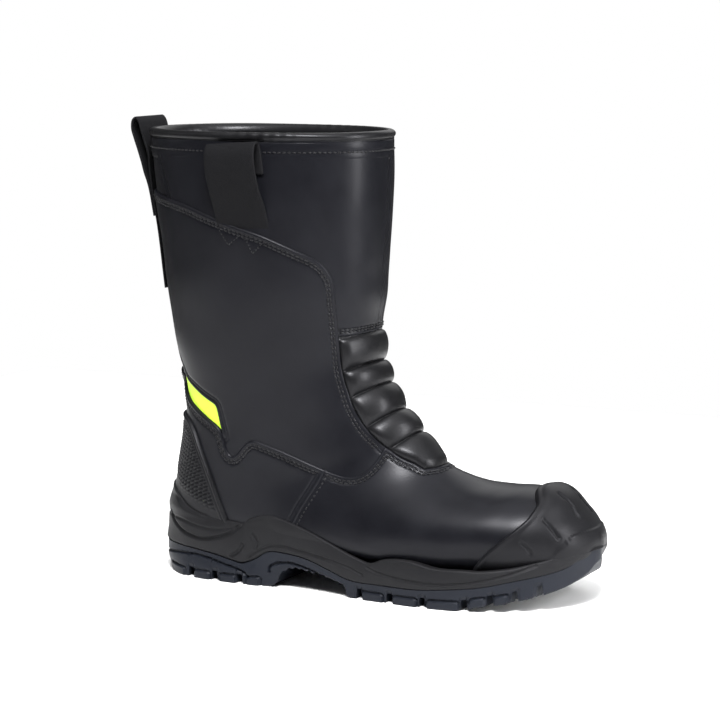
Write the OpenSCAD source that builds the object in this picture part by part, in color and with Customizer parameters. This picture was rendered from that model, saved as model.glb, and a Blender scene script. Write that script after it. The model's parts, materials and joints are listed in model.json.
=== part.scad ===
// Pull-on firefighter's boot, right foot.
// Frame: +X points to the toe, +Y to the inner (medial) side, +Z up, and z = 0 is the ground.
// Every layer of the upper follows one foot form, and lies at its own depth from that form.

/* [Size] */
// Length of the outsole from heel to toe
sole_length = 314; // [290:1:335]
// Width of the outsole across the ball of the foot
sole_width = 114; // [104:1:122]
// Height of the collar above the ground
boot_height = 303; // [280:1:320]

/* [Upper] */
// Thickness of the outer leather
leather = 2.0; // [1.6:0.1:2.2]
// Thickness of the stiffener layer between the leather and the lining
stiffener = 2.0; // [1.6:0.1:2.2]
// Thickness of the lining
lining = 2.0; // [1.5:0.1:2.2]
// Gap left between neighbouring pieces
gap = 0.3; // [0.25:0.05:0.4]
// Height of the padded ribs above the instep
rib_height = 6.0; // [4:0.5:7]
// Thickness of the moulded toe and heel covers
cover = 2.6; // [2:0.1:3]

/* [Loops] */
// Width of the webbing of the pull loops
webbing_width = 37; // [30:1:38]
// Thickness of the webbing
webbing = 1.6; // [1.2:0.1:1.8]
// How far the side loops stand off the shaft
loop_standoff = 12; // [10:1:14]

/* [Sole] */
// Height of the tread bars
tread_height = 6; // [4:0.5:7]
// Width of the grooves between tread bars
groove = 5; // [4:0.5:6]
// Thickness of the outsole's side wall
rubber_wall = 4; // [3:0.5:5]
// Thickness of the removable footbed
footbed_t = 5; // [4:0.5:6]

/* [Hidden] */

// The tables below are in millimetres for the nominal size, with x from the back of the heel.
sx = sole_length / 314;
sy = sole_width / 114;
sz = boot_height / 303;
x_centre = 146.3; // the middle of the whole boot, in table x
rim_foot = boot_height - 5; // where the binding starts
band_foot = boot_height - 14; // the collar band's lower edge
collar_foam_foot = boot_height - 60;
lining_split = 150;
overlap = 0.9; // how far the lower pieces stand over the upper ones
binding_half = 4.4;
cover_inner = leather + overlap + gap; // depth of the covers' inner face
shaft_side = 62.4 * sy; // outer face of the shaft's side at the loops
loop_foot = 243 * sz;
loop_lean = 4; // the side loops lean back towards their tops
RIB_VALLEYS = [4.25, 5.28, 6.22, 7.42, 8.7, 10.8]; // valleys between the ribs over the instep
leather_black = [0.07, 0.07, 0.075];
rubber_grey = [0.16, 0.18, 0.21];

// Foot form, one row for each section from the collar to the toe: the section's front (or top)
// point x z, its back (or bottom) point x z, its middle's y, its half widths on the lateral and
// the medial side, the height of the widest place as a share of the section, and how square
// its upper and lower halves are.
FORM = [
    [161, 303, -5.5, 303, 0, 60, 60, 0.50, 2.2, 2.2],
    [161, 268, -2.5, 268, 0, 60, 60, 0.50, 2.2, 2.2],
    [159, 232, 3.5, 230, 0, 58, 58, 0.50, 2.2, 2.2],
    [157, 200, 8, 193, 0, 55, 55, 0.50, 2.2, 2.2],
    [154, 176, 13.5, 158, 0, 51, 51, 0.50, 2.2, 2.2],
    [154, 155, 19.5, 128, 0, 47, 47, 0.50, 2.2, 2.2],
    [160, 138, 21, 100, 0, 44, 43, 0.48, 2.2, 2.3],
    [169, 123, 17, 74, 0, 42, 40, 0.45, 2.2, 2.4],
    [180, 110, 14, 50, 0, 41, 39, 0.42, 2.2, 2.6],
    [190, 99, 26, 34, 0, 41, 38, 0.36, 2.1, 2.8],
    [199, 88, 66, 29, 0, 42, 38, 0.32, 2.1, 3.0],
    [210, 79, 112, 27, 0, 45, 41, 0.32, 2.1, 3.2],
    [231, 72, 159, 23, 1, 49, 46, 0.34, 2.1, 3.4],
    [251, 70, 204, 20, 3, 50, 50, 0.36, 2.1, 3.4],
    [267, 70, 242, 20, 5, 47, 49, 0.38, 2.1, 3.2],
    [284, 67, 272, 22, 6, 41, 42, 0.40, 2.1, 3.0],
    [298, 57, 292, 25, 7, 31, 32, 0.42, 2.1, 2.6],
    [306, 46, 304, 30, 8, 17, 18, 0.45, 2.1, 2.2],
];
last_row = len(FORM) - 1;

// Side view outlines, [x, z].
SIDE_PANEL = [
    [-50, 270], [11, 261], [40, 256], [82, 243], [102, 237], [123, 228], [133, 222], [139, 214],
    [142, 204], [142.5, 181], [142.5, 170], [144, 148], [149.5, 129.5], [159.5, 110.5],
    [173, 97], [168, 86], [161, 78], [151, 76], [138, 79], [107, 93], [94, 97], [86, 99],
    [80, 95], [75, 89], [71, 86], [67.5, 89], [63.5, 101], [60.5, 108], [58, 120], [47, 125],
    [32, 132.5], [29, 136], [25, 143], [17.5, 157], [-50, 240],
];
HI_VIZ = [
    [58, 120], [47, 125], [32, 132.5], [29, 136], [23, 132], [25, 126.5], [32, 121],
    [40.5, 116], [50.5, 111], [61, 106],
];
FLEX = [
    [120, 171], [190, 169], [240, 120], [222, 90], [210, 83.5], [200, 83.5], [192.5, 85],
    [184.5, 89], [173, 97], [159.5, 110.5], [149.5, 129.5], [144, 148], [142.5, 170],
];
QUARTER_SEAM = [[139, 79], [117, 37], [100, 0]];
SHAFT_FRONT = [
    [20, 330], [21, 303], [29, 259], [40, 256.3], [82, 243.3], [102, 237.3], [123, 228.3],
    [133, 222.3], [139.3, 214], [142.3, 204], [142.8, 181], [142.8, 171.5], [200, 169.5], [200, 330],
];
SHAFT_REAR = [[20, 330], [21, 303], [29, 259], [11, 261.3], [-50, 270.3], [-50, 330]];
ACHILLES = [
    [-50, 240], [17.5, 157], [25, 143], [29, 136], [23, 132], [25, 126.5], [20, 120], [-50, 119],
];
FEATHER_LINE = [
    [-20, 38], [20, 38], [62, 33], [110, 31], [158, 27], [204, 24], [242, 24], [272, 26.5],
    [292, 30], [330, 40],
];
FOOTBED_TOP = [
    [-20, 36], [20, 36], [62, 34], [110, 32], [158, 28], [204, 25], [242, 25], [272, 27], [330, 35],
];
TOE_CAP = [
    [330, 100], [271, 100], [273, 77], [278.5, 72.5], [281.5, 68], [280.5, 63.5], [278, 59],
    [271, 52], [264, 45], [256.5, 37.5], [251.5, 30], [249, 0], [330, 0],
];
HEEL_COVER = [
    [-50, 112], [22, 110], [29, 107.5], [38, 100], [46, 82], [51, 68], [54, 56], [59, 42], [61, 0],
    [-50, 0],
];
TOE_GROOVES = [
    [[289, 71], [297, 66], [304, 57]],
    [[287, 60], [293, 54], [298, 47]],
    [[276, 45], [280, 40], [283, 35]],
];
HEEL_GROOVES = [for (k = [0 : 3]) [[-10, 76 + 5 * k], [18, 76 + 5 * k]]];

// Lines of the sole in side view: the midsole's upper edge, the line between midsole and
// outsole, the tread's ground line, and the floor inside the outsole.
MIDSOLE_TOP = [
    [-20, 62], [8, 60], [21, 55], [30, 49], [41, 45], [53, 43], [77, 41], [83, 44], [91, 47],
    [99, 48], [106, 47], [118, 44], [134, 39], [154, 31], [167, 26], [177, 23], [186, 26],
    [202, 27], [235, 25], [253, 26], [275, 29], [295, 33], [330, 38],
];
OUTSOLE_TOP = [
    [-20, 19], [26, 20], [53, 18], [72, 14], [79, 14], [89, 18], [97, 23], [107, 24], [127, 22],
    [154, 15], [179, 9], [208, 8], [230, 10], [250, 13], [269, 16], [286, 21], [300, 26],
    [305, 32], [309, 37], [330, 40],
];
GROUND_LINE = [
    [-20, 0], [95, 0], [107, 11], [116, 15], [128, 14], [144, 11], [158, 8], [163, 0], [238, 0],
    [252, 3], [270, 6], [290, 11], [303, 16], [311, 22], [316, 30], [330, 44],
];
OUTSOLE_FLOOR = [
    [-20, 11], [92, 11], [108, 18.5], [116, 19.5], [128, 18.5], [146, 13], [165, 9.5],
    [238, 9.5], [252, 11.5], [270, 14.8], [290, 19.8], [303, 25], [330, 38],
];

// Outline of the sole from above, [x, lateral half width, medial half width].
SOLE_PLAN = [
    [0, 6, 6], [6, 22, 22], [20, 34, 34], [45, 42, 40], [80, 46, 43], [110, 47, 43],
    [150, 50, 46], [190, 54, 53], [225, 56, 58], [258, 51, 57], [285, 39, 48], [304, 20, 31],
    [314, 2, 10],
];
// Places of the grooves across the tread.
GROOVES = [34, 57, 78, 168, 193, 219, 246, 262, 277, 291];

form_rows = 35; // rings along the boot
ring_points = 32; // points around each ring
lining_rows = 26;
lining_points = 24;

function along(table, k) = table[min(max(k, 0), len(table) - 1)];
// A smooth curve through a table's rows. u counts the rows.
function smooth_row(table, u) =
    let (
        n = len(table),
        k = min(floor(u), n - 2),
        t = u - k,
        b = table[k],
        c = table[k + 1],
        a = k == 0 ? 2 * b - c : table[k - 1],
        d = k == n - 2 ? 2 * c - b : table[k + 2]
    )
    0.5 * (2 * b + (c - a) * t + (2 * a - 5 * b + 4 * c - d) * t * t
        + (3 * b - a - 3 * c + d) * t * t * t);

function wrap(v) = v > 1 ? v - 2 : v < -1 ? v + 2 : v;

// A point of the foot form. u counts the sections from the collar. v is 0 at the front or top
// of a section and 1 at its back or bottom, and it is negative on the lateral side.
function form_point(u, v) =
    let (
        row = smooth_row(FORM, min(max(u, 0), last_row)),
        c = cos(180 * v),
        squareness = 2 / (c >= 0 ? row[8] : row[9]),
        share = row[7] + (c >= 0 ? 1 - row[7] : -row[7]) * pow(abs(c), squareness),
        half = (v < 0 ? -row[5] : row[6]) * pow(abs(sin(180 * v)), squareness)
    )
    [
        (row[2] + (row[0] - row[2]) * share - x_centre) * sx,
        (row[4] + half) * sy,
        (row[3] + (row[1] - row[3]) * share) * sz,
    ];

function unit(a) = a / norm(a);

function form_normal(u, v, e = 0.02) =
    unit(cross(
        form_point(min(u + e, last_row), v) - form_point(max(u - e, 0), v),
        form_point(u, wrap(v + e)) - form_point(u, wrap(v - e))
    ));

function form_grid(rows, points) = [for (i = [0 : rows - 1]) [for (j = [0 : points - 1])
    form_point(last_row * i / (rows - 1), -1 + 2 * j / points)]];
function form_normals(rows, points) = [for (i = [0 : rows - 1]) [for (j = [0 : points - 1])
    form_normal(last_row * i / (rows - 1), -1 + 2 * j / points)]];

GRID = form_grid(form_rows, ring_points);
NORMALS = form_normals(form_rows, ring_points);
LINING_GRID = form_grid(lining_rows, lining_points);
LINING_NORMALS = form_normals(lining_rows, lining_points);

function middle(ring) = [for (p = ring) 1] * ring / len(ring);

// A closed solid through rings of equal length, with a fan on each end ring.
module skin(rings) {
    n = len(rings[0]);
    m = len(rings);
    points = [for (ring = rings) each ring, middle(rings[0]), middle(rings[m - 1])];
    sides = [for (i = [0 : m - 2], j = [0 : n - 1]) let (k = (j + 1) % n)
        each [[i * n + j, i * n + k, (i + 1) * n + k], [i * n + j, (i + 1) * n + k, (i + 1) * n + j]]];
    first = [for (j = [0 : n - 1]) [n * m, (j + 1) % n, j]];
    last = [for (j = [0 : n - 1]) [n * m + 1, (m - 1) * n + j, (m - 1) * n + (j + 1) % n]];
    polyhedron(points = concat(points), faces = concat(sides, first, last));
}

// The foot form, grown outwards by depth, and carried straight up past the collar.
module form(depth, grid = GRID, normals = NORMALS) {
    rings = [for (i = [0 : len(grid) - 1]) grid[i] + depth * normals[i]];
    above = [for (p = rings[0]) [p[0], p[1], boot_height + 15]];
    skin(concat([above], rings));
}

// The layer of the form between two depths.
module layer(inner, outer) {
    difference() {
        form(outer);
        form(inner);
    }
}

function placed(outline) = [for (p = outline) [(p[0] - x_centre) * sx, p[1] * sz]];

// A bar across the boot with a side view outline, drawn back from its neighbours by half a gap.
module bar(outline, inset = gap / 2) {
    rotate([90, 0, 0])
        linear_extrude(height = 260, center = true)
            offset(delta = -inset)
                polygon(placed(outline));
}

// Everything on one side of the boot. side is -1 for lateral and 1 for medial.
module half(side) {
    translate([-300, side < 0 ? -200 - gap / 2 : gap / 2, -20]) cube([600, 200, 400]);
}

// Everything between two heights.
module heights(low, high) {
    translate([-300, -200, low]) cube([600, 400, high - low]);
}

// Everything under a side view line.
module below(line, raise = 0) {
    bar(concat([[330, -40], [-60, -40], [-60, line[0][1] + raise]], [for (p = line) [p[0], p[1] + raise]]), 0);
}

// Meshes its children as one closed solid.
module as_mesh() resize([0, 0, 0]) children();

// The upper's outer leather. The lower pieces lie over the edges of the upper ones.
module upper_skin(raise = 0) {
    difference() {
        form(leather + raise);
        form(0);
        below(FEATHER_LINE);
        heights(rim_foot, boot_height + 50);
    }
}

module shaft_front(side) {
    color(leather_black) as_mesh() intersection() {
        upper_skin();
        half(side);
        bar(SHAFT_FRONT);
        heights(0, band_foot - gap);
    }
}
module shaft_front_lateral() shaft_front(-1);
module shaft_front_medial() shaft_front(1);

module shaft_rear() {
    color(leather_black) as_mesh() intersection() {
        upper_skin();
        bar(SHAFT_REAR);
        heights(0, band_foot - gap);
    }
}

module side_panel(side) {
    color(leather_black) as_mesh() intersection() {
        upper_skin(0.4);
        half(side);
        bar(SIDE_PANEL);
    }
}
module side_panel_lateral() side_panel(-1);
module side_panel_medial() side_panel(1);

// The quarter and the vamp fill what lies under the shaft, each on its side of their seam.
module lower_skin() {
    difference() {
        upper_skin(overlap);
        bar(SIDE_PANEL, -gap / 2);
        bar(HI_VIZ, -gap / 2);
        bar(ACHILLES, -gap / 2);
        bar(FLEX, -gap / 2);
        heights(150, boot_height + 60);
    }
}

module quarter(side) {
    color(leather_black) as_mesh() intersection() {
        lower_skin();
        half(side);
        bar(concat(QUARTER_SEAM, [[-60, -40], [-60, 150], [139, 150]]));
    }
}
module quarter_lateral() quarter(-1);
module quarter_medial() quarter(1);

module vamp() {
    color(leather_black) as_mesh() intersection() {
        lower_skin();
        bar(concat(QUARTER_SEAM, [[100, -40], [340, -40], [340, 150], [139, 150]]));
    }
}

module achilles_flex_panel() {
    color([0.05, 0.05, 0.055]) as_mesh() intersection() {
        upper_skin(0.6);
        bar(ACHILLES);
    }
}

module hi_viz_strip(side) {
    color([0.80, 0.93, 0.10]) as_mesh() intersection() {
        upper_skin();
        half(side);
        bar(HI_VIZ);
    }
}
module hi_viz_strip_lateral() hi_viz_strip(-1);
module hi_viz_strip_medial() hi_viz_strip(1);

// Height of the padded ribs over the instep, 0 in the valleys and 1 on the crests.
function rib(u) =
    let (
        k = [for (i = [0 : len(RIB_VALLEYS) - 2]) if (u >= RIB_VALLEYS[i]) i],
        i = len(k) == 0 ? 0 : k[len(k) - 1],
        t = (u - RIB_VALLEYS[i]) / (RIB_VALLEYS[i + 1] - RIB_VALLEYS[i])
    )
    t <= 0 || t >= 1 ? 0 : sqrt(sin(180 * t));

// A patch over the instep between two depths, where the ribs add their height to each depth.
module instep_patch(inner, inner_rib, outer, outer_rib) {
    us = [for (i = [0 : 4], t = [0, 0.08, 0.3, 0.5, 0.7, 0.92])
        RIB_VALLEYS[i] + t * (RIB_VALLEYS[i + 1] - RIB_VALLEYS[i])];
    vs = [-0.30, -0.235, -0.2, -0.12, 0, 0.12, 0.2, 0.235, 0.30];
    n = len(vs);
    m = len(us);
    function swell(u, v) = rib(u) * sqrt(max(0, 1 - pow(abs(v) / 0.235, 2)));
    function sheet(depth, rise) = [for (u = us, v = vs)
        form_point(u, v) + (depth + rise * swell(u, v)) * form_normal(u, v)];
    function quad(a, b, c, d) = [[a, b, c], [a, c, d]];
    top = [for (i = [0 : m - 2], j = [0 : n - 2])
        each quad(i * n + j, i * n + j + 1, (i + 1) * n + j + 1, (i + 1) * n + j)];
    q = n * m;
    bottom = [for (f = top) [f[2] + q, f[1] + q, f[0] + q]];
    long_edges = [for (i = [0 : m - 2]) each concat(
        quad(i * n, (i + 1) * n, (i + 1) * n + q, i * n + q),
        quad((i + 1) * n + n - 1, i * n + n - 1, i * n + n - 1 + q, (i + 1) * n + n - 1 + q))];
    ends = [for (j = [0 : n - 2]) each concat(
        quad(j + 1, j, j + q, j + 1 + q),
        quad((m - 1) * n + j, (m - 1) * n + j + 1, (m - 1) * n + j + 1 + q, (m - 1) * n + j + q))];
    polyhedron(
        points = concat(sheet(outer, outer_rib), sheet(inner, inner_rib)),
        faces = concat(top, bottom, long_edges, ends)
    );
}

module front_flex_cover() {
    color(leather_black) as_mesh() intersection() {
        instep_patch(1.0, rib_height - 0.2, 2.4, rib_height);
        bar(FLEX);
    }
}

module front_flex_foam() {
    color([0.25, 0.25, 0.26]) as_mesh() intersection() {
        instep_patch(0, 0, 0.7, rib_height - 0.2);
        bar(FLEX);
    }
}

module collar_band() {
    color(leather_black) as_mesh() intersection() {
        upper_skin(0.4);
        heights(band_foot, rim_foot);
    }
}

// A ring around the collar, rounded in section.
module collar_binding() {
    n = ring_points;
    m = 8;
    rings = [for (k = [0 : m - 1])
        [for (j = [0 : n - 1]) let (p = GRID[0][j] + NORMALS[0][j]
            * (-1.3 + binding_half * cos(360 * k / m)))
            [p[0], p[1], rim_foot + gap + 3 + 3 * sin(360 * k / m)]]];
    faces = [for (i = [0 : m - 1], j = [0 : n - 1])
        let (k = (j + 1) % n, a = i * n, b = ((i + 1) % m) * n)
        each [[a + k, a + j, b + k], [b + k, a + j, b + j]]];
    color([0.05, 0.05, 0.055]) polyhedron(points = [for (r = rings) each r], faces = faces);
}

module collar_foam() {
    color([0.3, 0.3, 0.31]) as_mesh() intersection() {
        layer(-gap - stiffener, -gap);
        heights(collar_foam_foot, rim_foot);
    }
}

// The lining layer, which is drawn with fewer facets than the leather.
module lining_skin() {
    outer = -2 * gap - stiffener;
    difference() {
        form(outer, LINING_GRID, LINING_NORMALS);
        form(outer - lining, LINING_GRID, LINING_NORMALS);
    }
}

module shaft_lining() {
    color([0.12, 0.12, 0.13]) as_mesh() intersection() {
        lining_skin();
        heights(lining_split + gap / 2, rim_foot);
    }
}

module foot_lining() {
    color([0.2, 0.2, 0.21]) as_mesh() intersection() {
        lining_skin();
        heights(-20, lining_split - gap / 2);
    }
}

// Lines pressed into a moulded cover, each given as a thin outline in side view.
module pressed(lines) {
    intersection() {
        layer(cover_inner + cover - 1, cover_inner + cover + 2);
        union()
            for (line = lines)
                bar(strip(line, 1.6), 0);
    }
}

module moulded_cover(outline, lines) {
    color([0.09, 0.09, 0.095]) as_mesh() difference() {
        intersection() {
            layer(cover_inner, cover_inner + cover);
            bar(outline);
        }
        below(MIDSOLE_TOP, gap);
        below(OUTSOLE_TOP, gap);
        pressed(lines);
    }
}

module toe_scuff_cap() moulded_cover(TOE_CAP, TOE_GROOVES);

module heel_counter_cover() moulded_cover(HEEL_COVER, HEEL_GROOVES);

module protective_toecap() {
    color([0.6, 0.6, 0.62]) as_mesh() difference() {
        intersection() {
            layer(-gap - stiffener, -gap);
            bar([[240, -10], [246, 45], [252, 110], [340, 110], [340, -10]]);
        }
        below(FEATHER_LINE, 1);
    }
}

module heel_stiffener() {
    color([0.75, 0.68, 0.55]) as_mesh() difference() {
        intersection() {
            layer(0.4 - gap - stiffener, -gap);
            bar([[-60, -10], [-60, 96], [20, 96], [50, 80], [78, 46], [80, -10]]);
        }
        below(FEATHER_LINE, 1);
    }
}

module insole_board() {
    color([0.7, 0.6, 0.45]) as_mesh() intersection() {
        layer(0, leather);
        below(FEATHER_LINE, -gap);
    }
}

module puncture_plate() {
    color([0.65, 0.66, 0.68]) as_mesh() intersection() {
        layer(-gap - 1, -gap);
        below(FEATHER_LINE, 1 - gap);
    }
}

module shank_bed(room = 0) {
    intersection() {
        layer(cover_inner - room, cover_inner + 1.6 + room);
        translate([70 - x_centre - room, -11 - room, 0]) cube([100 + 2 * room, 22 + 2 * room, 32]);
    }
}

module shank() {
    color([0.62, 0.63, 0.66]) as_mesh() shank_bed();
}

// The sole's outline from above, drawn in by inset.
module plan(inset = 0) {
    steps = 4;
    n = len(SOLE_PLAN) - 1;
    us = [for (i = [0 : n * steps]) i / steps];
    rows = [for (u = us) smooth_row(SOLE_PLAN, u)];
    lateral = [for (r = rows) [(r[0] - x_centre) * sx, -r[1] * sy]];
    medial = [for (i = [len(rows) - 1 : -1 : 0]) [(rows[i][0] - x_centre) * sx, rows[i][2] * sy]];
    offset(delta = -inset) polygon(concat(lateral, medial));
}

module midsole() {
    color([0.12, 0.12, 0.125]) as_mesh() difference() {
        linear_extrude(height = 90) plan();
        bar(concat([[-60, 120]], [for (p = MIDSOLE_TOP) p], [[340, 120]]), 0);
        difference() {
            below(OUTSOLE_TOP, gap / 2);
            linear_extrude(height = 200, center = true) plan(rubber_wall + gap);
        }
        below(OUTSOLE_FLOOR, gap);
        form(cover_inner);
        shank_bed(gap);
    }
}

// The tread is cut across by grooves, and along by a channel under the heel and the forefoot.
module outsole() {
    color(rubber_grey) difference() {
        linear_extrude(height = 60) plan();
        bar(concat([[-60, 90]], [for (p = OUTSOLE_TOP) [p[0], p[1] - gap / 2]], [[340, 90]]), 0);
        bar(concat([[-60, -30]], GROUND_LINE, [[340, -30]]), 0);
        intersection() {
            linear_extrude(height = 90) plan(rubber_wall);
            bar(concat([[-60, 95]], OUTSOLE_FLOOR, [[340, 95]]), 0);
        }
        for (x = GROOVES)
            translate([(x - x_centre) * sx - groove / 2, -100, -5])
                cube([groove, 200, 5 + tread_height + lookup(x, GROUND_LINE)]);
        translate([(28 - x_centre) * sx, -groove / 2, -5])
            cube([55 * sx, groove, 5 + tread_height]);
        translate([(172 - x_centre) * sx, -groove / 2 + 2, -5])
            cube([75 * sx, groove, 5 + tread_height]);
    }
}

// The footbed lies in the foot lining and can be lifted out.
module footbed() {
    color([0.24, 0.25, 0.28]) as_mesh() difference() {
        intersection() {
            form(-4 * gap - stiffener - lining, LINING_GRID, LINING_NORMALS);
            bar([[17, -10], [17, 60], [288, 60], [288, -10]]);
        }
        bar(concat([[-60, 120]], [for (p = FOOTBED_TOP) [p[0], p[1] + footbed_t]], [[340, 120]]), 0);
    }
}

// The outline of a strip of webbing seen from its edge, along a path.
function strip(path, t) =
    let (
        n = len(path),
        normals = [for (i = [0 : n - 1])
            let (d = unit(path[min(i + 1, n - 1)] - path[max(i - 1, 0)])) [-d[1], d[0]]]
    )
    concat(
        [for (i = [0 : n - 1]) path[i] + t / 2 * normals[i]],
        [for (i = [n - 1 : -1 : 0]) path[i] - t / 2 * normals[i]]
    );

// Places a side view drawn as [distance off the shaft, height] on the shaft's side.
module on_side(side) {
    translate([(88 - x_centre) * sx, side * shaft_side, loop_foot])
        rotate([0, -loop_lean, 0])
            rotate([90, 0, side * 90])
                translate([0, 0, -webbing_width / 2])
                    linear_extrude(height = webbing_width)
                        children();
}

module side_loop(side) {
    k = loop_standoff / 12;
    path = [
        [3.1, 0], [5.6, 6], [9, 14], [11.4, 23], [12.2, 32], [11.4, 41], [9, 48.5], [6.4, 52.8],
        [4.6, 53.8], [3.4, 52], [2.9, 48.3],
    ];
    color([0.03, 0.03, 0.035]) on_side(side)
        polygon(strip([for (p = path) [p[0] > 4 ? 4 + (p[0] - 4) * k : p[0], p[1]]], webbing));
}
module side_loop_lateral() side_loop(-1);
module side_loop_medial() side_loop(1);

module side_loop_anchor(side) {
    path = [[0.8, 1], [0.8, 39], [2.6, 47.3]];
    color([0.03, 0.03, 0.035]) on_side(side) polygon(strip(path, webbing));
}
module side_loop_anchor_lateral() side_loop_anchor(-1);
module side_loop_anchor_medial() side_loop_anchor(1);

module rear_loop() {
    path = [
        [-8.6, 259], [-10.6, 266], [-12.1, 273], [-13.1, 280], [-15.5, 288], [-18.2, 295.5], [-20.6, 302],
        [-20.6, 307], [-17.6, 310], [-13.6, 309], [-11.4, 304], [-10.6, 294.3],
    ];
    color([0.03, 0.03, 0.035])
        rotate([90, 0, 0])
            linear_extrude(height = webbing_width, center = true)
                polygon(strip(placed(path), webbing));
}

module rear_strap() {
    color([0.03, 0.03, 0.035]) as_mesh() intersection() {
        layer(leather + 0.4 + gap, leather + 0.4 + gap + webbing);
        translate([-300, -webbing_width / 2, 194]) cube([260, webbing_width, 98]);
    }
}

shaft_front_lateral();
shaft_front_medial();
shaft_rear();
side_panel_lateral();
side_panel_medial();
quarter_lateral();
quarter_medial();
vamp();
front_flex_cover();
front_flex_foam();
achilles_flex_panel();
hi_viz_strip_lateral();
hi_viz_strip_medial();
collar_band();
collar_binding();
collar_foam();
shaft_lining();
foot_lining();
toe_scuff_cap();
heel_counter_cover();
protective_toecap();
heel_stiffener();
insole_board();
puncture_plate();
shank();
midsole();
outsole();
footbed();
side_loop_lateral();
side_loop_anchor_lateral();
side_loop_medial();
side_loop_anchor_medial();
rear_loop();
rear_strap();
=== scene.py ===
"""A firefighter's boot, right foot: how it looks. Every layer of the upper is a fine mesh that
follows the foot form the CAD model uses. Lengths are in millimetres with x from the back of the
heel, and become metres in the model's frame when a mesh is made."""

import json
import math

import bmesh
import bpy
import numpy as np
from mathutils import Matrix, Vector, kdtree, noise

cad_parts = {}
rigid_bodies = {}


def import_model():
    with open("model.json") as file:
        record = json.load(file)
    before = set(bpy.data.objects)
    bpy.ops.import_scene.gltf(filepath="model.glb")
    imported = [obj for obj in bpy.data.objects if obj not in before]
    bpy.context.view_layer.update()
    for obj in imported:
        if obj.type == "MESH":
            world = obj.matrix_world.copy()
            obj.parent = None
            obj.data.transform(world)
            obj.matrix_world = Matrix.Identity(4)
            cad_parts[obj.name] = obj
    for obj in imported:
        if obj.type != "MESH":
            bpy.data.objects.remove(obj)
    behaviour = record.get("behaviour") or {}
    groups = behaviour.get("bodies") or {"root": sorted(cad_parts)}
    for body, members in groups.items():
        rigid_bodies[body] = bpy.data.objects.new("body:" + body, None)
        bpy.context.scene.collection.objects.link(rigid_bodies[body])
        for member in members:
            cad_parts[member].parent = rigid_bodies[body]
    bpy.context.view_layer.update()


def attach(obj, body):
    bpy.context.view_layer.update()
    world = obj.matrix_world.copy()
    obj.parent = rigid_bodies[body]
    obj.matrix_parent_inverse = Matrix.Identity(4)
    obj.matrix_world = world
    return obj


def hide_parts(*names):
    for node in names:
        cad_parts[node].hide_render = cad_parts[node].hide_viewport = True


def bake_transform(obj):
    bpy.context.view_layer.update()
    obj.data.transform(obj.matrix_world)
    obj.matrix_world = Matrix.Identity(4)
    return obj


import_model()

X_CENTRE = 146.3  # the frame's origin, from the back of the heel

# ---------------------------------------------------------------- the foot form

# One row for each section, from the collar to the tip of the toe: front point x z, back point
# x z, middle y, half widths on the lateral and medial side, height of the widest place, and how
# square the upper and lower halves are.
FORM = np.array([
    [161, 303, -5.5, 303, 0, 60, 60, 0.50, 2.2, 2.2],
    [161, 268, -2.5, 268, 0, 60, 60, 0.50, 2.2, 2.2],
    [159, 232, 3.5, 230, 0, 58, 58, 0.50, 2.2, 2.2],
    [157, 200, 8, 193, 0, 55, 55, 0.50, 2.2, 2.2],
    [154, 176, 13.5, 158, 0, 51, 51, 0.50, 2.2, 2.2],
    [154, 155, 19.5, 128, 0, 47, 47, 0.50, 2.2, 2.2],
    [160, 138, 21, 100, 0, 44, 43, 0.48, 2.2, 2.3],
    [169, 123, 17, 74, 0, 42, 40, 0.45, 2.2, 2.4],
    [180, 110, 14, 50, 0, 41, 39, 0.42, 2.2, 2.6],
    [190, 99, 26, 34, 0, 41, 38, 0.36, 2.1, 2.8],
    [199, 88, 66, 29, 0, 42, 38, 0.32, 2.1, 3.0],
    [210, 79, 112, 27, 0, 45, 41, 0.32, 2.1, 3.2],
    [231, 72, 159, 23, 1, 49, 46, 0.34, 2.1, 3.4],
    [251, 70, 204, 20, 3, 50, 50, 0.36, 2.1, 3.4],
    [267, 70, 242, 20, 5, 47, 49, 0.38, 2.1, 3.2],
    [284, 67, 272, 22, 6, 41, 42, 0.40, 2.1, 3.0],
    [298, 57, 292, 25, 7, 31, 32, 0.42, 2.1, 2.6],
    [306, 46, 304, 30, 8, 17, 18, 0.45, 2.1, 2.2],
    [309, 42, 309, 38, 8, 1, 1, 0.50, 2.0, 2.0],
])
LAST_ROW = len(FORM) - 1
TOP = 303  # height of the first section
DROP = 35.5  # from one section to the next, near the collar
BACK_DROP = 36.0  # the same, on the back of the shaft


def between(a, b, c, d, t):
    """The smooth curve from b to c, where t goes from 0 to 1, with a before them and d after."""
    return 0.5 * (2 * b + (c - a) * t + (2 * a - 5 * b + 4 * c - d) * t**2
                  + (3 * b - a - 3 * c + d) * t**3)


def smooth_rows(table, u):
    """The rows of a table at the fractional indices u, on a smooth curve through them."""
    u = np.clip(np.asarray(u, float), 0, len(table) - 1)
    k = np.minimum(u.astype(int), len(table) - 2)
    t = (u - k)[..., None]
    b, c = table[k], table[k + 1]
    a = np.where(k[..., None] == 0, 2 * b - c, table[np.maximum(k - 1, 0)])
    last = k[..., None] == len(table) - 2
    d = np.where(last, 2 * c - b, table[np.minimum(k + 2, len(table) - 1)])
    return between(a, b, c, d, t)


def form_point(u, v):
    """u counts the sections from the collar; v is 0 at the front or top, +-1 at the back or
    bottom, and negative on the lateral side."""
    row = smooth_rows(FORM, u)
    v = np.asarray(v, float)
    v = np.where(v > 1, v - 2, np.where(v < -1, v + 2, v))
    c = np.cos(np.pi * v)
    square = 2 / np.where(c >= 0, row[..., 8], row[..., 9])
    rise = np.where(c >= 0, 1 - row[..., 7], -row[..., 7])
    share = row[..., 7] + rise * np.abs(c) ** square
    half = np.where(v < 0, -row[..., 5], row[..., 6]) * np.abs(np.sin(np.pi * v)) ** square
    return np.stack([row[..., 2] + (row[..., 0] - row[..., 2]) * share,
                     row[..., 4] + half,
                     row[..., 3] + (row[..., 1] - row[..., 3]) * share], -1)


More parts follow.
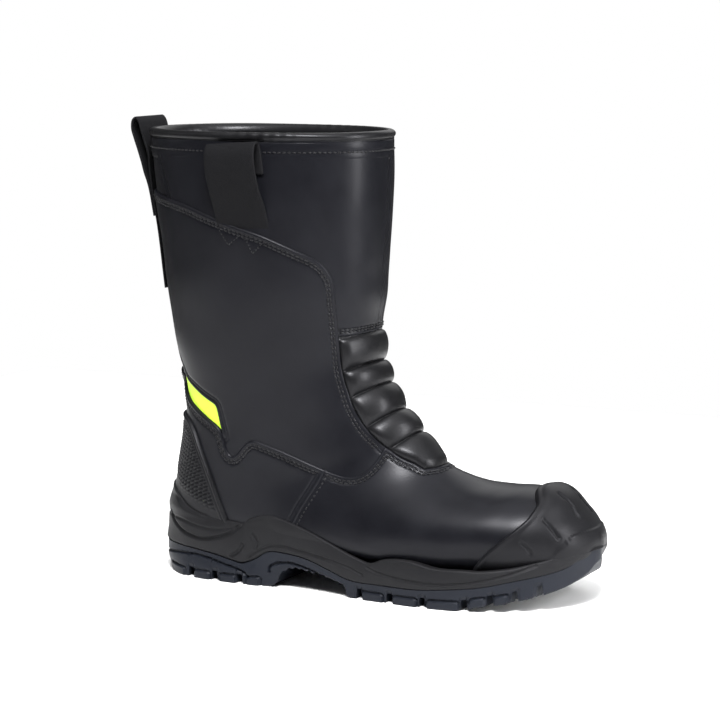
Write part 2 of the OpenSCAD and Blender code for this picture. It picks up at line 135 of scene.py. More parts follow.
def unit(a):
    return a / np.maximum(np.linalg.norm(a, axis=-1, keepdims=True), 1e-9)


def form_axes(u, v):
    """How the surface point moves with u and with v."""
    e = 0.02  # the step it is measured over
    u = np.asarray(u, float)
    high, low = np.minimum(u + e, LAST_ROW - 0.01), np.maximum(u - e, 0)
    along = (form_point(high, v) - form_point(low, v)) / (high - low)[..., None]
    around = (form_point(u, v + e) - form_point(u, v - e)) / (2 * e)
    return along, around


def form_normal(u, v):
    u = np.minimum(np.asarray(u, float), LAST_ROW - 0.3)
    along, around = form_axes(u, v)
    return unit(np.cross(along, around))


def on_form(u, v, depth):
    """A point at a depth outside the foot form."""
    depth = np.broadcast_to(np.asarray(depth, float), np.shape(u))
    return form_point(u, v) + depth[..., None] * form_normal(u, v)


MIDDLE_OF_LEATHER = 2.0  # depth at which lengths and gaps are measured
SEARCH = np.linspace(0, LAST_ROW, 2401)
SEARCH_ROWS = smooth_rows(FORM, SEARCH)


def locate(points):
    """(u, |v|) of side view points x z."""
    points = np.asarray(points, float).reshape(-1, 2)
    front, back = SEARCH_ROWS[:, 0:2], SEARCH_ROWS[:, 2:4]
    span = front - back
    gap = points[:, None, :] - back[None]
    side = span[None, :, 0] * gap[..., 1] - span[None, :, 1] * gap[..., 0]
    share = (gap * span[None]).sum(-1) / (span**2).sum(-1)[None]
    crossing = (side[:, :-1] > 0) != (side[:, 1:] > 0)
    off = np.abs(share[:, :-1] - 0.5) + np.where(crossing, 0, 1e3)
    k = off.argmin(1)
    i = np.arange(len(points))
    t = side[i, k] / (side[i, k] - side[i, k + 1] + 1e-12)
    t = np.clip(t, 0, 1)
    u = SEARCH[k] + t * (SEARCH[k + 1] - SEARCH[k])
    row = smooth_rows(FORM, u)
    span = row[:, 0:2] - row[:, 2:4]
    share = ((points - row[:, 2:4]) * span).sum(1) / (span**2).sum(1)
    m = row[:, 7]
    upper = share >= m
    reach = np.clip(np.where(upper, (share - m) / (1 - m), (m - share) / m), 0, 1)
    c = reach ** (np.where(upper, row[:, 8], row[:, 9]) / 2)
    return np.stack([u, np.arccos(np.clip(np.where(upper, c, -c), -1, 1)) / np.pi], 1)


def catmull(points, step=1.0):
    """A smooth curve through the points, sampled about every step."""
    points = np.asarray(points, float)
    points = np.vstack([2 * points[0] - points[1], points, 2 * points[-1] - points[-2]])
    out = []
    for a, b, c, d in zip(points, points[1:], points[2:], points[3:]):
        n = max(2, int(np.linalg.norm(c - b) / step) + 1)
        t = np.linspace(0, 1, n, endpoint=False)[:, None]
        out.append(between(a, b, c, d, t))
    return np.vstack(out + [points[-2:-1]])


def run_along(points):
    """Distance along a polyline at each of its points."""
    return np.concatenate([[0], np.cumsum(np.linalg.norm(np.diff(points, axis=0), axis=1))])


def side_curve(points, back=None, depth=0.0):
    """A curve on the form, in (u, |v|), through side view points that are measured on a surface
    this far outside the form. With back, it starts at that section, on the back's centre line."""
    measured = catmull(points, 2.0)
    uw = locate(measured)
    for _ in range(5 if depth else 0):
        outward = on_form(uw[:, 0], -uw[:, 1], depth) - form_point(uw[:, 0], -uw[:, 1])
        uw = locate(measured - outward[:, [0, 2]])
    if back is not None:
        uw = np.vstack([[[back, 1.0]], uw])
    return uw


def resample(uw, step=0.3):
    """Even steps along a curve on the form."""
    fine = np.vstack([np.linspace(a, b, 12, endpoint=False) for a, b in zip(uw, uw[1:])] + [uw[-1:]])
    p = on_form(fine[:, 0], -fine[:, 1], MIDDLE_OF_LEATHER)
    run = run_along(p)
    at = np.arange(0, run[-1], step)
    return np.stack([np.interp(at, run, fine[:, 0]), np.interp(at, run, fine[:, 1])], 1)


def lateral_points(curves):
    """Even points of (u, |v|) curves on the lateral side."""
    return np.vstack([on_form(e[:, 0], -e[:, 1], MIDDLE_OF_LEATHER) for e in map(resample, curves)])


def inside(points, outline):
    """Even-odd test of points against a closed outline, in two dimensions."""
    x, y = points[:, 0][:, None], points[:, 1][:, None]
    x1, y1 = outline[:, 0][None], outline[:, 1][None]
    x2, y2 = np.roll(x1, -1, 1), np.roll(y1, -1, 1)
    with np.errstate(divide="ignore", invalid="ignore"):
        hit = ((y1 > y) != (y2 > y)) & (x < (x2 - x1) * (y - y1) / (y2 - y1) + x1)
    return hit.sum(1) % 2 == 1


def find_nearest(points, samples):
    """For each point the nearest sample: its place, its index and its distance."""
    tree = kdtree.KDTree(len(samples))
    for i, s in enumerate(samples):
        tree.insert(s, i)
    tree.balance()
    return [tree.find(p) for p in points]


def nearest(points, samples):
    """Distance from each point to the nearest sample."""
    return np.array([distance for _, _, distance in find_nearest(points, samples)])


def cut(data, tris, level):
    """Splits triangles along the line where the last column of data equals level."""
    s = data[:, -1] - level
    s = np.where(np.abs(s) < 1e-6, 1e-6, s)
    up = s > 0
    count = up[tris].sum(1)
    mixed = (count == 1) | (count == 2)
    whole, part = tris[~mixed], tris[mixed]
    if not len(part):
        return data, tris
    lone = up[part] == (count[mixed] == 1)[:, None]
    k, i = lone.argmax(1), np.arange(len(part))
    a, b, c = part[i, k], part[i, (k + 1) % 3], part[i, (k + 2) % 3]
    pairs = np.sort(np.concatenate([np.stack([a, b], 1), np.stack([a, c], 1)]), 1)
    unique, index = np.unique(pairs, axis=0, return_inverse=True)
    index = index.reshape(-1)
    p, q = unique.T
    t = (s[p] / (s[p] - s[q]))[:, None]
    new = data[p] + t * (data[q] - data[p])
    new[:, -1] = level
    ab, ac = len(data) + index[: len(part)], len(data) + index[len(part):]
    tris = np.vstack([whole, np.stack([a, ab, ac], 1), np.stack([ab, b, c], 1),
                      np.stack([ab, c, ac], 1)])
    return np.vstack([data, new]), tris


def compact(data, tris):
    used, index = np.unique(tris, return_inverse=True)
    return data[used], index.reshape(tris.shape)


def boundary(tris):
    """Directed edges that belong to one triangle only."""
    edges = np.vstack([tris[:, [0, 1]], tris[:, [1, 2]], tris[:, [2, 0]]])
    key = np.sort(edges, 1)
    _, index, count = np.unique(key, axis=0, return_inverse=True, return_counts=True)
    return edges[count[index.reshape(-1)] == 1]


def reach_to(sections):
    """How far down the boot each section is: the longest of the ways by front, side and back."""
    ways = [form_point(sections, np.full(len(sections), v)) for v in (-0.02, -0.5, -0.98)]
    return np.maximum.reduce([run_along(way) for way in ways])


def even_u(step):
    """Sections about a step apart."""
    fine = np.linspace(0, LAST_ROW, 1200)
    reach = reach_to(fine)
    return np.interp(np.arange(0, reach[-1], step), reach, fine)


GRID_U = np.append(even_u(2.0), LAST_ROW)
GRID_W = np.linspace(0, 1, 116)


def rough(points, scale, strength, seed=0.0):
    """Soft unevenness at a scale in millimetres."""
    shift = Vector((seed, 2 * seed, -seed))
    return np.array([noise.noise(Vector(p) / scale + shift) for p in points]) * strength


# ---------------------------------------------------------------- making objects

def to_frame(points):
    out = np.array(points, float)
    out[:, 0] -= X_CENTRE
    return out / 1000.0


def new_object(name, points, faces, material, uv=None, merge=0.0):
    """A smooth mesh from millimetre points. uv is one pair for each point, and points closer than
    merge become one."""
    mesh = bpy.data.meshes.new(name)
    mesh.from_pydata(to_frame(points).tolist(), [], [list(map(int, f)) for f in faces])
    if uv is not None:
        layer = mesh.uv_layers.new(name="UVMap")
        loops = np.empty(len(mesh.loops), int)
        mesh.loops.foreach_get("vertex_index", loops)
        layer.data.foreach_set("uv", np.asarray(uv, float)[loops].reshape(-1))
    mesh.materials.append(material)
    ob = bpy.data.objects.new(name, mesh)
    bpy.context.scene.collection.objects.link(ob)
    if merge:
        weld(ob, merge)
    mesh.shade_smooth()
    return ob


def weld(ob, distance):
    bm = bmesh.new()
    bm.from_mesh(ob.data)
    bmesh.ops.remove_doubles(bm, verts=bm.verts, dist=distance / 1000)
    bm.to_mesh(ob.data)
    bm.free()


def close_tip(ob, x):
    """Fills the small ring that is left at the tip of the toe, beyond x."""
    bm = bmesh.new()
    bm.from_mesh(ob.data)
    limit = (x - X_CENTRE) / 1000
    ring = [e for e in bm.edges if e.is_boundary and min(p.co.x for p in e.verts) > limit]
    bmesh.ops.holes_fill(bm, edges=ring, sides=len(ring))
    bm.to_mesh(ob.data)
    bm.free()


def grid_faces(rows, columns, closed=False):
    """Quads of a grid of points, row by row."""
    last = columns if closed else columns - 1
    return [(i * columns + j, i * columns + (j + 1) % columns,
             (i + 1) * columns + (j + 1) % columns, (i + 1) * columns + j)
            for i in range(rows - 1) for j in range(last)]


def ring_faces(rings, columns, closed=False):
    """Quads of a grid of points whose last row meets its first."""
    last = columns if closed else columns - 1
    return [(i * columns + j, (i + 1) % rings * columns + j,
             (i + 1) % rings * columns + (j + 1) % columns, i * columns + (j + 1) % columns)
            for i in range(rings) for j in range(last)]


def all_pairs(us, vs):
    """Every u with every v, as two lists, row by row."""
    return [grid.ravel() for grid in np.meshgrid(us, vs, indexing="ij")]


def leather_uv(u, v):
    """Metres of leather round the boot and down it."""
    return np.stack([v * 0.23, u * 0.028], 1)


def edge_roll(s, radius):
    """0 at an edge to 1 beyond the roll's radius, as a quarter circle."""
    t = np.clip(s / radius, 0, 1)
    return np.sqrt(np.clip(1 - (1 - t) ** 2, 0, 1))


RIM_DROP = 1.2  # how far a piece's rim goes down behind the piece it lies on


def panel(name, outline, edges, low, high, material, *, roll=1.2, rows=(), puff=0.0, relief=None,
          u=GRID_U, w=GRID_W, join=False, unevenness=0.35):
    """A leather piece on the form. outline is closed in (u, |v|), and edges are the stretches of
    it that show: there the leather rolls down from high to low. rows are the distances of stitch
    rows from the edge. A piece that crosses the centre line is joined there."""
    data = np.stack(all_pairs(u, w), 1)
    tris = np.array([t for a, b, c, d in grid_faces(len(u), len(w)) for t in ((a, b, c), (a, c, d))])
    low_box, high_box = outline.min(0) - 0.25, outline.max(0) + 0.25
    near = ((data >= low_box) & (data <= high_box)).all(1)
    data, tris = compact(data, tris[near[tris].all(1)])
    samples = lateral_points(edges)
    gap = nearest(on_form(data[:, 0], -data[:, 1], MIDDLE_OF_LEATHER), samples)
    sign = np.where(inside(data, outline), 1, -1)
    data = np.column_stack([data, gap * sign])
    levels = [0, 0.1 * roll, 0.35 * roll, 0.7 * roll, roll]
    for row in rows:
        levels += [row - 0.8, row, row + 0.8]
    for level in sorted(levels):
        data, tris = cut(data, tris, level)
    data, tris = compact(data, tris[data[tris][:, :, 2].mean(1) > 0])
    points, faces, uvs = [], [], []
    for side in (-1, 1):
        u_, v_, s = data[:, 0], side * data[:, 1], np.maximum(data[:, 2], 0)
        depth = low + (high - low) * edge_roll(s, roll)
        if puff:
            depth += puff * np.exp(-(((s - roll - 0.6) / 1.4) ** 2))
        for row in rows:
            depth -= 0.5 * np.exp(-(((s - row) / 0.6) ** 2))
        base = form_point(u_, v_)
        depth += rough(base, 28, unevenness, 3.0) * edge_roll(s, 12)
        if relief:
            depth += relief(u_, v_, s, base)
        top = on_form(u_, v_, depth)
        rim = boundary(tris)
        rim = rim[(data[rim][:, :, 2] < 1e-6).all(1)]
        foot_of, foot_at = np.unique(rim, return_inverse=True)
        foot = on_form(u_[foot_of], v_[foot_of], np.full(len(foot_of), low - RIM_DROP))
        foot_at = foot_at.reshape(rim.shape) + len(top)
        a, b, c = top[tris[:, 0]], top[tris[:, 1]], top[tris[:, 2]]
        outward = (np.cross(b - a, c - a) * form_normal(u_[tris[:, 0]], v_[tris[:, 0]])).sum()
        order = (0, 1, 2) if outward > 0 else (0, 2, 1)
        start = sum(map(len, points))
        faces += (tris[:, order] + start).tolist()
        for (p, q), (r, t) in zip(rim, foot_at):
            quad = (q, p, r, t) if outward > 0 else (p, q, t, r)
            faces.append([i + start for i in quad])
        points += [top, foot]
        flat = leather_uv(u_, v_)
        uvs += [flat, flat[foot_of]]
    return new_object(name, np.vstack(points), faces, material, np.vstack(uvs),
                      merge=0.02 if join else 0.0)


def inset(edge, distance, outline, depth):
    """The curve on the form at a distance inside an edge."""
    u, v = edge[:, 0], -edge[:, 1]
    p, n = on_form(u, v, depth), form_normal(u, v)
    inward = np.cross(n, unit(np.gradient(p, axis=0)))
    along, around = form_axes(u, v)
    basis = np.stack([along, around], -1)
    moved = np.einsum("nij,nj->ni", np.linalg.pinv(basis), inward)
    both = [np.stack([u + s * distance * moved[:, 0], -(v + s * distance * moved[:, 1])], 1)
            for s in (1, -1)]
    best = max(both, key=lambda c: inside(c, outline).sum())
    gap = nearest(on_form(best[:, 0], -best[:, 1], depth), p)
    keep = (gap > 0.92 * distance) & (best[:, 1] > 0) & (best[:, 1] < 1)
    return best[keep]


def stitch_run(curve, pitch=3.3, length=2.5, thread=0.48):
    """Arched stitches along a curve of points with normals: points, faces. thread is half the
    thickness of the thread."""
    p, n = curve
    run = run_along(p)
    starts = np.arange(pitch * 0.3, run[-1] - length, pitch)
    points, faces = [], []
    rings, around = 5, 6
    rise = np.array([-0.35, 0.12, 0.25, 0.12, -0.35])
    girth = np.array([0.6, 1.0, 1.0, 1.0, 0.6])  # thinner where the thread enters the leather
    angle = np.arange(around) * 2 * np.pi / around
    for s in starts:
        at = s + np.linspace(0, 1, rings) * length
        c = np.stack([np.interp(at, run, p[:, k]) for k in range(3)], 1)
        if np.linalg.norm(np.diff(c, axis=0), axis=1).max() > length:
            continue
        m = unit(np.stack([np.interp(at, run, n[:, k]) for k in range(3)], 1))
        t = unit(np.gradient(c, axis=0))
        b = np.cross(t, m)
        c = c + rise[:, None] * m
        out = np.cos(angle)[None, :, None] * b[:, None] + np.sin(angle)[None, :, None] * m[:, None]
        ring = c[:, None] + thread * girth[:, None, None] * out
        start = len(points) * rings * around
        faces += [[i + start for i in f] for f in grid_faces(rings, around, closed=True)]
        points.append(ring.reshape(-1, 3))
    return np.vstack(points + [np.zeros((0, 3))]), faces


def on_both_sides(uw, depth):
    """The curves of a (u, |v|) line on each side, with their normals."""
    even = resample(uw, 0.8)
    out = []
    for side in (-1, 1):
        v = side * even[:, 1]
        out.append((on_form(even[:, 0], v, depth), form_normal(even[:, 0], v)))
    return out


def stitching(name, curves, material, **options):
    """One mesh of all the stitches along some curves."""
    points, faces, start = [], [], 0
    for curve in curves:
        p, f = stitch_run(curve, **options)
        points.append(p)
        faces += [[i + start for i in face] for face in f]
        start += len(p)
    return new_object(name, np.vstack(points), faces, material)


# ---------------------------------------------------------------- materials

COOL = (0.94, 0.94, 1.0)  # the faint violet cast of the blacks


def tree_of(name):
    """A new material, its shader, and short ways to add and to link nodes."""
    m = bpy.data.materials.new(name)
    m.use_nodes = True
    nodes, links = m.node_tree.nodes, m.node_tree.links
    shader = nodes["Principled BSDF"]

    def add(kind, **values):
        n = nodes.new(kind)
        for key, value in values.items():
            if hasattr(n, key):
                setattr(n, key, value)
            else:
                n.inputs[key.replace("_", " ")].default_value = value
        return n

    return m, shader, add, links.new


def two_tone(add, dark, light, low=0.0, high=1.0):
    """A ramp from one colour at a level to another at a higher one."""
    ramp = add("ShaderNodeValToRGB")
    for stop, colour, level in zip(ramp.color_ramp.elements, (dark, light), (low, high)):
        stop.position = level
        stop.color = (*colour, 1)
    return ramp


def adjust(shader, **values):
    """Sets inputs of a shader, named with _ for a space."""
    for name, value in values.items():
        shader.inputs[name.replace("_", " ")].default_value = value


def grained(name, dark, light, rough_low, rough_high, *, grain=900.0, grain_height=0.06,
            mottle=28.0, coat=0.0, sheen=0.0, specular=0.3, **more):
    """Leather, rubber or foam: a colour that drifts, a gloss that drifts, and a fine grain."""
    m, shader, add, link = tree_of(name)
    place = add("ShaderNodeTexCoord")
    drift = add("ShaderNodeTexNoise", Scale=mottle, Detail=4.0, Roughness=0.6)
    link(place.outputs["Object"], drift.inputs["Vector"])
    colour = two_tone(add, dark, light, 0.3, 0.7)
    link(drift.outputs["Fac"], colour.inputs["Fac"])
    link(colour.outputs["Color"], shader.inputs["Base Color"])
    gloss = add("ShaderNodeMapRange", To_Min=rough_low, To_Max=rough_high, From_Min=0.3, From_Max=0.7)
    link(drift.outputs["Fac"], gloss.inputs["Value"])
    link(gloss.outputs["Result"], shader.inputs["Roughness"])
    cells = add("ShaderNodeTexVoronoi", feature="SMOOTH_F1", Scale=grain, Smoothness=0.6)
    link(place.outputs["Object"], cells.inputs["Vector"])
    bump = add("ShaderNodeBump", Strength=grain_height, Distance=0.0006)
    link(cells.outputs["Distance"], bump.inputs["Height"])
    dust = add("ShaderNodeTexNoise", Scale=grain * 2.3, Detail=3.0)
    link(place.outputs["Object"], dust.inputs["Vector"])
    second = add("ShaderNodeBump", Strength=0.03, Distance=0.0004)
    link(dust.outputs["Fac"], second.inputs["Height"])
    link(bump.outputs["Normal"], second.inputs["Normal"])
    link(second.outputs["Normal"], shader.inputs["Normal"])
    adjust(shader, Coat_Weight=coat, Coat_Roughness=0.25, Sheen_Weight=sheen,
           Specular_IOR_Level=specular, Specular_Tint=(*COOL, 1), **more)
    return m


def woven(name, dark, light, pitch_u, pitch_v, roughness, height, *, twill=0.0, sheen=0.2, **more):
    """A weave on the UV map, in metres: one thread over and one under, or a diagonal rib."""
    m, shader, add, link = tree_of(name)
    uv = add("ShaderNodeUVMap")
    uv.uv_map = "UVMap"
    apart = add("ShaderNodeSeparateXYZ")
    link(uv.outputs["UV"], apart.inputs["Vector"])

    def wave(source, turns, phase_source=None):
        scale = add("ShaderNodeMath", operation="MULTIPLY")
        link(source, scale.inputs[0])
        scale.inputs[1].default_value = turns
        last = scale
        if phase_source is not None:
            slant = add("ShaderNodeMath", operation="MULTIPLY_ADD")
            link(phase_source, slant.inputs[0])
            slant.inputs[1].default_value = twill * turns
            link(scale.outputs[0], slant.inputs[2])
            last = slant
        sine = add("ShaderNodeMath", operation="SINE")
        link(last.outputs[0], sine.inputs[0])
        return sine

    a = wave(apart.outputs["X"], 2 * math.pi / pitch_u, apart.outputs["Y"] if twill else None)
    b = wave(apart.outputs["Y"], 2 * math.pi / pitch_v)
    weave = add("ShaderNodeMath", operation="MULTIPLY_ADD")
    link(a.outputs[0], weave.inputs[0])
    link(b.outputs[0], weave.inputs[1])
    weave.inputs[2].default_value = 0.5
    fuzz = add("ShaderNodeTexNoise", Scale=1400.0, Detail=2.0)
    place = add("ShaderNodeTexCoord")
    link(place.outputs["Object"], fuzz.inputs["Vector"])
    mix = add("ShaderNodeMath", operation="MULTIPLY_ADD")
    link(fuzz.outputs["Fac"], mix.inputs[0])
    mix.inputs[1].default_value = 0.6
    link(weave.outputs[0], mix.inputs[2])
    colour = two_tone(add, dark, light, 0.2, 1.0)
    link(mix.outputs[0], colour.inputs["Fac"])
    link(colour.outputs["Color"], shader.inputs["Base Color"])
    bump = add("ShaderNodeBump", Strength=height, Distance=0.0006)
    link(mix.outputs[0], bump.inputs["Height"])
    link(bump.outputs["Normal"], shader.inputs["Normal"])
    adjust(shader, Roughness=roughness, Sheen_Weight=sheen, **more)
    return m


LEATHER = grained("boot_leather", (0.0036, 0.0037, 0.0052), (0.0058, 0.006, 0.0080), 0.34, 0.43,
                  grain=1100.0, grain_height=0.05, coat=0.05, specular=0.15)
SOFT_LEATHER = grained("soft_leather", (0.004, 0.004, 0.0045), (0.006, 0.006, 0.0065), 0.34, 0.44,
                       grain=900.0, grain_height=0.07, coat=0.05, specular=0.2)
LINING = grained("lining_leather", (0.016, 0.016, 0.017), (0.034, 0.034, 0.036), 0.22, 0.34,
                 grain=700.0, grain_height=0.08, coat=0.5, specular=0.9)
BOOTIE = grained("bootie_textile", (0.03, 0.03, 0.033), (0.06, 0.06, 0.065), 0.85, 0.95,
                 grain=500.0, grain_height=0.35, sheen=0.3)
COVER = grained("cover_rubber", (0.005, 0.005, 0.0058), (0.0078, 0.0078, 0.0088), 0.38, 0.48,
                grain=1500.0, grain_height=0.08, specular=0.16)
MIDSOLE = grained("midsole_foam", (0.0070, 0.0070, 0.0078), (0.0098, 0.0098, 0.0106), 0.46, 0.58,
                  grain=1300.0, grain_height=0.12, specular=0.16)
RUBBER = grained("outsole_rubber", (0.0065, 0.0080, 0.0120), (0.009, 0.0110, 0.0160), 0.44, 0.56,
                 grain=1000.0, grain_height=0.10, specular=0.2)
THREAD_MAT = grained("thread", (0.006, 0.006, 0.0065), (0.010, 0.010, 0.011), 0.34, 0.44,
                     grain=2600.0, grain_height=0.3, sheen=0.1, specular=0.15)
HI_VIZ = grained("hi_viz_film", (0.59, 0.92, 0.05), (0.65, 0.98, 0.065), 0.40, 0.50,
                 grain=700.0, grain_height=0.12, mottle=60.0,
                 # fluorescent film, drawn with a painted glow: an emission that shines whatever light
                 # falls on it
                 Emission_Color=(0.57, 1.0, 0.05, 1), Emission_Strength=0.22)
FOAM = grained("foam", (0.10, 0.10, 0.105), (0.15, 0.15, 0.155), 0.9, 1.0, grain=420.0, grain_height=0.5)
BOARD = grained("fibre_board", (0.30, 0.22, 0.13), (0.40, 0.30, 0.19), 0.8, 0.9, grain=500.0,
                grain_height=0.3)
SHELL = grained("toecap_shell", (0.10, 0.10, 0.105), (0.14, 0.14, 0.145), 0.35, 0.45, grain=600.0)
STEEL = grained("plate_steel", (0.45, 0.46, 0.48), (0.55, 0.56, 0.58), 0.25, 0.38, grain=300.0,
                grain_height=0.03, Metallic=1.0)
WEBBING = woven("webbing", (0.0022, 0.0022, 0.0028), (0.0052, 0.0052, 0.0064), 0.0013, 0.0011,
                0.7, 0.35, sheen=0.0, Specular_IOR_Level=0.12)
FELT = woven("footbed_textile", (0.03, 0.03, 0.036), (0.075, 0.075, 0.085), 0.0024, 0.0024, 0.95, 0.5,
             twill=0.5)

# ---------------------------------------------------------------- the upper

# The visible edges, in side view.
TOP_EDGE = side_curve([
    (0, 263), (11, 261), (40, 256), (60, 250), (82, 243), (102, 237), (123, 227.5), (133, 222),
    (138.5, 216), (142, 207), (142.5, 196), (142.5, 181), (142.5, 170), (143.8, 148), (149.5, 129),
    (153.5, 120), (159.5, 110.5), (166, 103.5), (173, 97),
], back=1.12)
TUCK_EDGE = np.vstack([side_curve([
    (63, 100), (61, 107.5), (59.4, 114.5), (57.8, 119.6), (53.5, 121.9), (47, 124.8), (39, 129),
    (32, 132.6), (28.6, 136.3), (25, 143), (20.7, 149.8), (17.2, 157),
]), [[3.86, 1.0]]])
QUARTER_EDGE = side_curve([
    (17, 142), (21.5, 140.8), (25.3, 138.8), (25.8, 136), (23.8, 132.5), (24.4, 128), (31.9, 120.8),
    (40.4, 116.2), (50.4, 110.8), (59, 106), (62.5, 102), (64.5, 97), (66.5, 91), (69, 87.3),
    (72, 86.6), (75, 89.5), (79, 94), (83.7, 98.2), (88.7, 98.6), (94, 97), (107, 92.8), (127, 85),
    (138, 80.5),
], back=4.5)
VAMP_LIP = np.vstack([side_curve([(173, 97), (178.5, 93), (184.5, 89), (192.5, 85)]),
                      catmull([(10.44, 0.113), (10.6, 0.063), (10.62, 0.0)], 0.01)])
VAMP_EDGE = np.vstack([side_curve([(138, 80.5), (151, 77), (161, 78.5), (168, 86), (173, 97)])[:-1],
                       VAMP_LIP])
VAMP_SEAM = side_curve([(138, 80.5), (131, 67), (124, 55), (119, 45), (114, 34)])
REAR_SEAM = side_curve([(12, 302.5), (13.5, 290), (19, 274), (25.5, 256)])
FLEX_TOP = np.vstack([[[4.26, 0.0], [4.26, 0.1]], side_curve([(146, 169.5), (140, 169.5)])])
HEEL_EDGE = side_curve([
    (23, 110.5), (29, 109), (35, 106), (40.5, 100), (45, 92), (50, 82), (55, 71), (60, 59),
    (65, 48), (70, 37),
], back=5.62)
REAR_EDGE = side_curve([(29, 301), (30, 290), (34, 274), (38, 250)])
TOE_EDGE = np.vstack([
    catmull([(14.33, 0.0), (14.36, 0.06), (14.55, 0.12), (14.78, 0.18)], 0.02),
    side_curve([(281.3, 67.2), (280.5, 63.4), (278.2, 59.1), (271.1, 51.7), (264.2, 45.3),
                (256, 37.4), (250, 29.7), (246, 24.2)], depth=5.5),
])


def closed(*parts):
    return np.vstack([np.asarray(p, float).reshape(-1, 2) for p in parts])


PAST = 0.12  # how far an outline goes past the centre line


def across(outline_end):
    """A point past the centre line, so a piece isn't cut there."""
    u, w = outline_end
    return [[u, w + PAST if w > 0.5 else w - PAST]]


def fine_grid(step_u, step_w, edges, margin=0.2):
    """A closer grid around some curves."""
    pts = np.vstack(edges)
    u0, w0 = np.maximum(pts.min(0) - [margin, 0.02], 0)
    u1, w1 = np.minimum(pts.max(0) + [margin, 0.02], [LAST_ROW, 1])
    fine = np.linspace(u0, u1, 400)
    reach = reach_to(fine)
    us = np.interp(np.linspace(0, reach[-1], int(reach[-1] / step_u) + 2), reach, fine)
    ring = form_point(np.full(200, (u0 + u1) / 2), -np.linspace(w0, w1, 200))
    width = np.linalg.norm(np.diff(ring, axis=0), axis=1).sum()
    return us, np.linspace(w0, w1, int(width / step_w) + 2)


def both_ways(uw, depth):
    """Sample points of a curve on the lateral and on the medial side."""
    even = resample(uw, 0.4)
    return np.vstack([on_form(even[:, 0], s * even[:, 1], depth) for s in (-1, 1)])


def line_at(line, x):
    """Height of a side view line at x."""
    return np.interp(x, line[:, 0], line[:, 1])


def slope_to(gap, near, far):
    """1 where the gap is below near, falling to 0 at far."""
    t = np.clip((far - gap) / (far - near), 0, 1)
    return t * t * (3 - 2 * t)


def shaft_relief(u, v, s, base):
    """A seam down the front, and soft wrinkles where the shaft bends over the ankle."""
    wrinkle = 0.35 * np.sin(base[:, 2] / 7 + 3 * v + 1.3 * np.sin(base[:, 2] / 17))
    calm = np.clip((u - 2.2) / 1.2, 0, 1) * np.exp(-((v / 0.22) ** 2))
    return -0.7 * np.exp(-(((v - 0.03) / 0.006) ** 2)) + wrinkle * calm


UNDER_SIDE = side_curve([(60, 240), (100, 226), (130, 206), (132, 175)])
SHAFT_OUTLINE = closed([[-0.3, -0.12]], [[-0.3, REAR_SEAM[0, 1]]], REAR_SEAM, UNDER_SIDE,
                       [[4.5, 0.27]], FLEX_TOP[::-1], across(FLEX_TOP[0]))
shaft = panel("shaft_front_leather", SHAFT_OUTLINE, [REAR_SEAM, FLEX_TOP], 0.6, 1.8, LEATHER,
              rows=(3.0, 4.7), relief=shaft_relief, join=True)
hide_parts("shaft_front_lateral", "shaft_front_medial")

rear = panel("shaft_rear_leather", closed([[-0.3, 1.12], [-0.3, 0.72]], REAR_EDGE, [[1.5, 1.12]]),
             [REAR_EDGE], 0.9, 0.9, LEATHER, join=True)
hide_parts("shaft_rear")


def side_relief(u, v, s, base):
    """The leather lies flat over most of the ankle, with soft folds where it bends behind it."""
    behind = np.clip((0.98 - np.abs(v)) / 0.3, 0, 1) * np.clip((np.abs(v) - 0.5) / 0.3, 0, 1)
    folds = 0.4 * np.sin(base[:, 2] / 9 + base[:, 0] / 14) * behind * np.clip((u - 2.4) / 1.5, 0, 1)
    seam = -0.6 * np.exp(-(((np.abs(v) - 1.0) / 0.006) ** 2))
    return folds + seam


UNDER_QUARTER = side_curve([(176, 88), (160, 69), (140, 66), (112, 80), (94, 86), (86, 88), (70, 76),
                            (58, 88), (57, 100)])
SIDE_OUTLINE = closed(TOP_EDGE, UNDER_QUARTER, TUCK_EDGE, across(TUCK_EDGE[-1]), across(TOP_EDGE[0]))
side = panel("side_panel_leather", SIDE_OUTLINE, [TOP_EDGE, TUCK_EDGE], 1.4, 2.9, LEATHER,
             rows=(3.4, 5.2), puff=0.15, relief=side_relief, join=True)
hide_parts("side_panel_lateral", "side_panel_medial")


def heel_ribs(u, v, s, base):
    """Round ribs across the back of the ankle."""
    back = np.clip((np.abs(v) - 0.62) / 0.12, 0, 1)
    return 1.5 * np.abs(np.sin(base[:, 2] * math.pi / 7.5)) ** 0.7 * back


ACHILLES_EDGE = side_curve([(14, 165), (22, 153), (28, 142), (25, 137), (19, 136)])
achilles = panel("achilles_flex_leather",
                 closed(ACHILLES_EDGE, [[4.8, 1.0], [4.8, 1.12], [3.5, 1.12], [3.5, 1.0]]),
                 [ACHILLES_EDGE], 0.6, 1.4, SOFT_LEATHER, relief=heel_ribs, join=True)
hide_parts("achilles_flex_panel")

STRIP = locate([(63, 122), (47, 128), (36, 135), (31, 141), (22, 139), (19, 130), (26, 120),
                (38, 112), (52, 106), (65, 103)])
strip = panel("hi_viz_insert", STRIP, [closed(STRIP, STRIP[:1])], 0.9, 1.7, HI_VIZ,
              roll=0.6, unevenness=0.15)
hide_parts("hi_viz_strip_lateral", "hi_viz_strip_medial")

BEHIND_MIDSOLE = side_curve([(99, 38), (83, 34), (53, 33), (30, 40), (8, 50), (-4, 54)])
UNDER_HEEL = [[7.9, 1.0], [7.9, 1.12]]
quarter = panel("quarter_leather",
                closed(QUARTER_EDGE, VAMP_SEAM, BEHIND_MIDSOLE, UNDER_HEEL, across(QUARTER_EDGE[0])),
                [QUARTER_EDGE, VAMP_SEAM], 2.4, 4.0, LEATHER, rows=(3.2, 5.0), puff=0.15, join=True)
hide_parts("quarter_lateral", "quarter_medial")

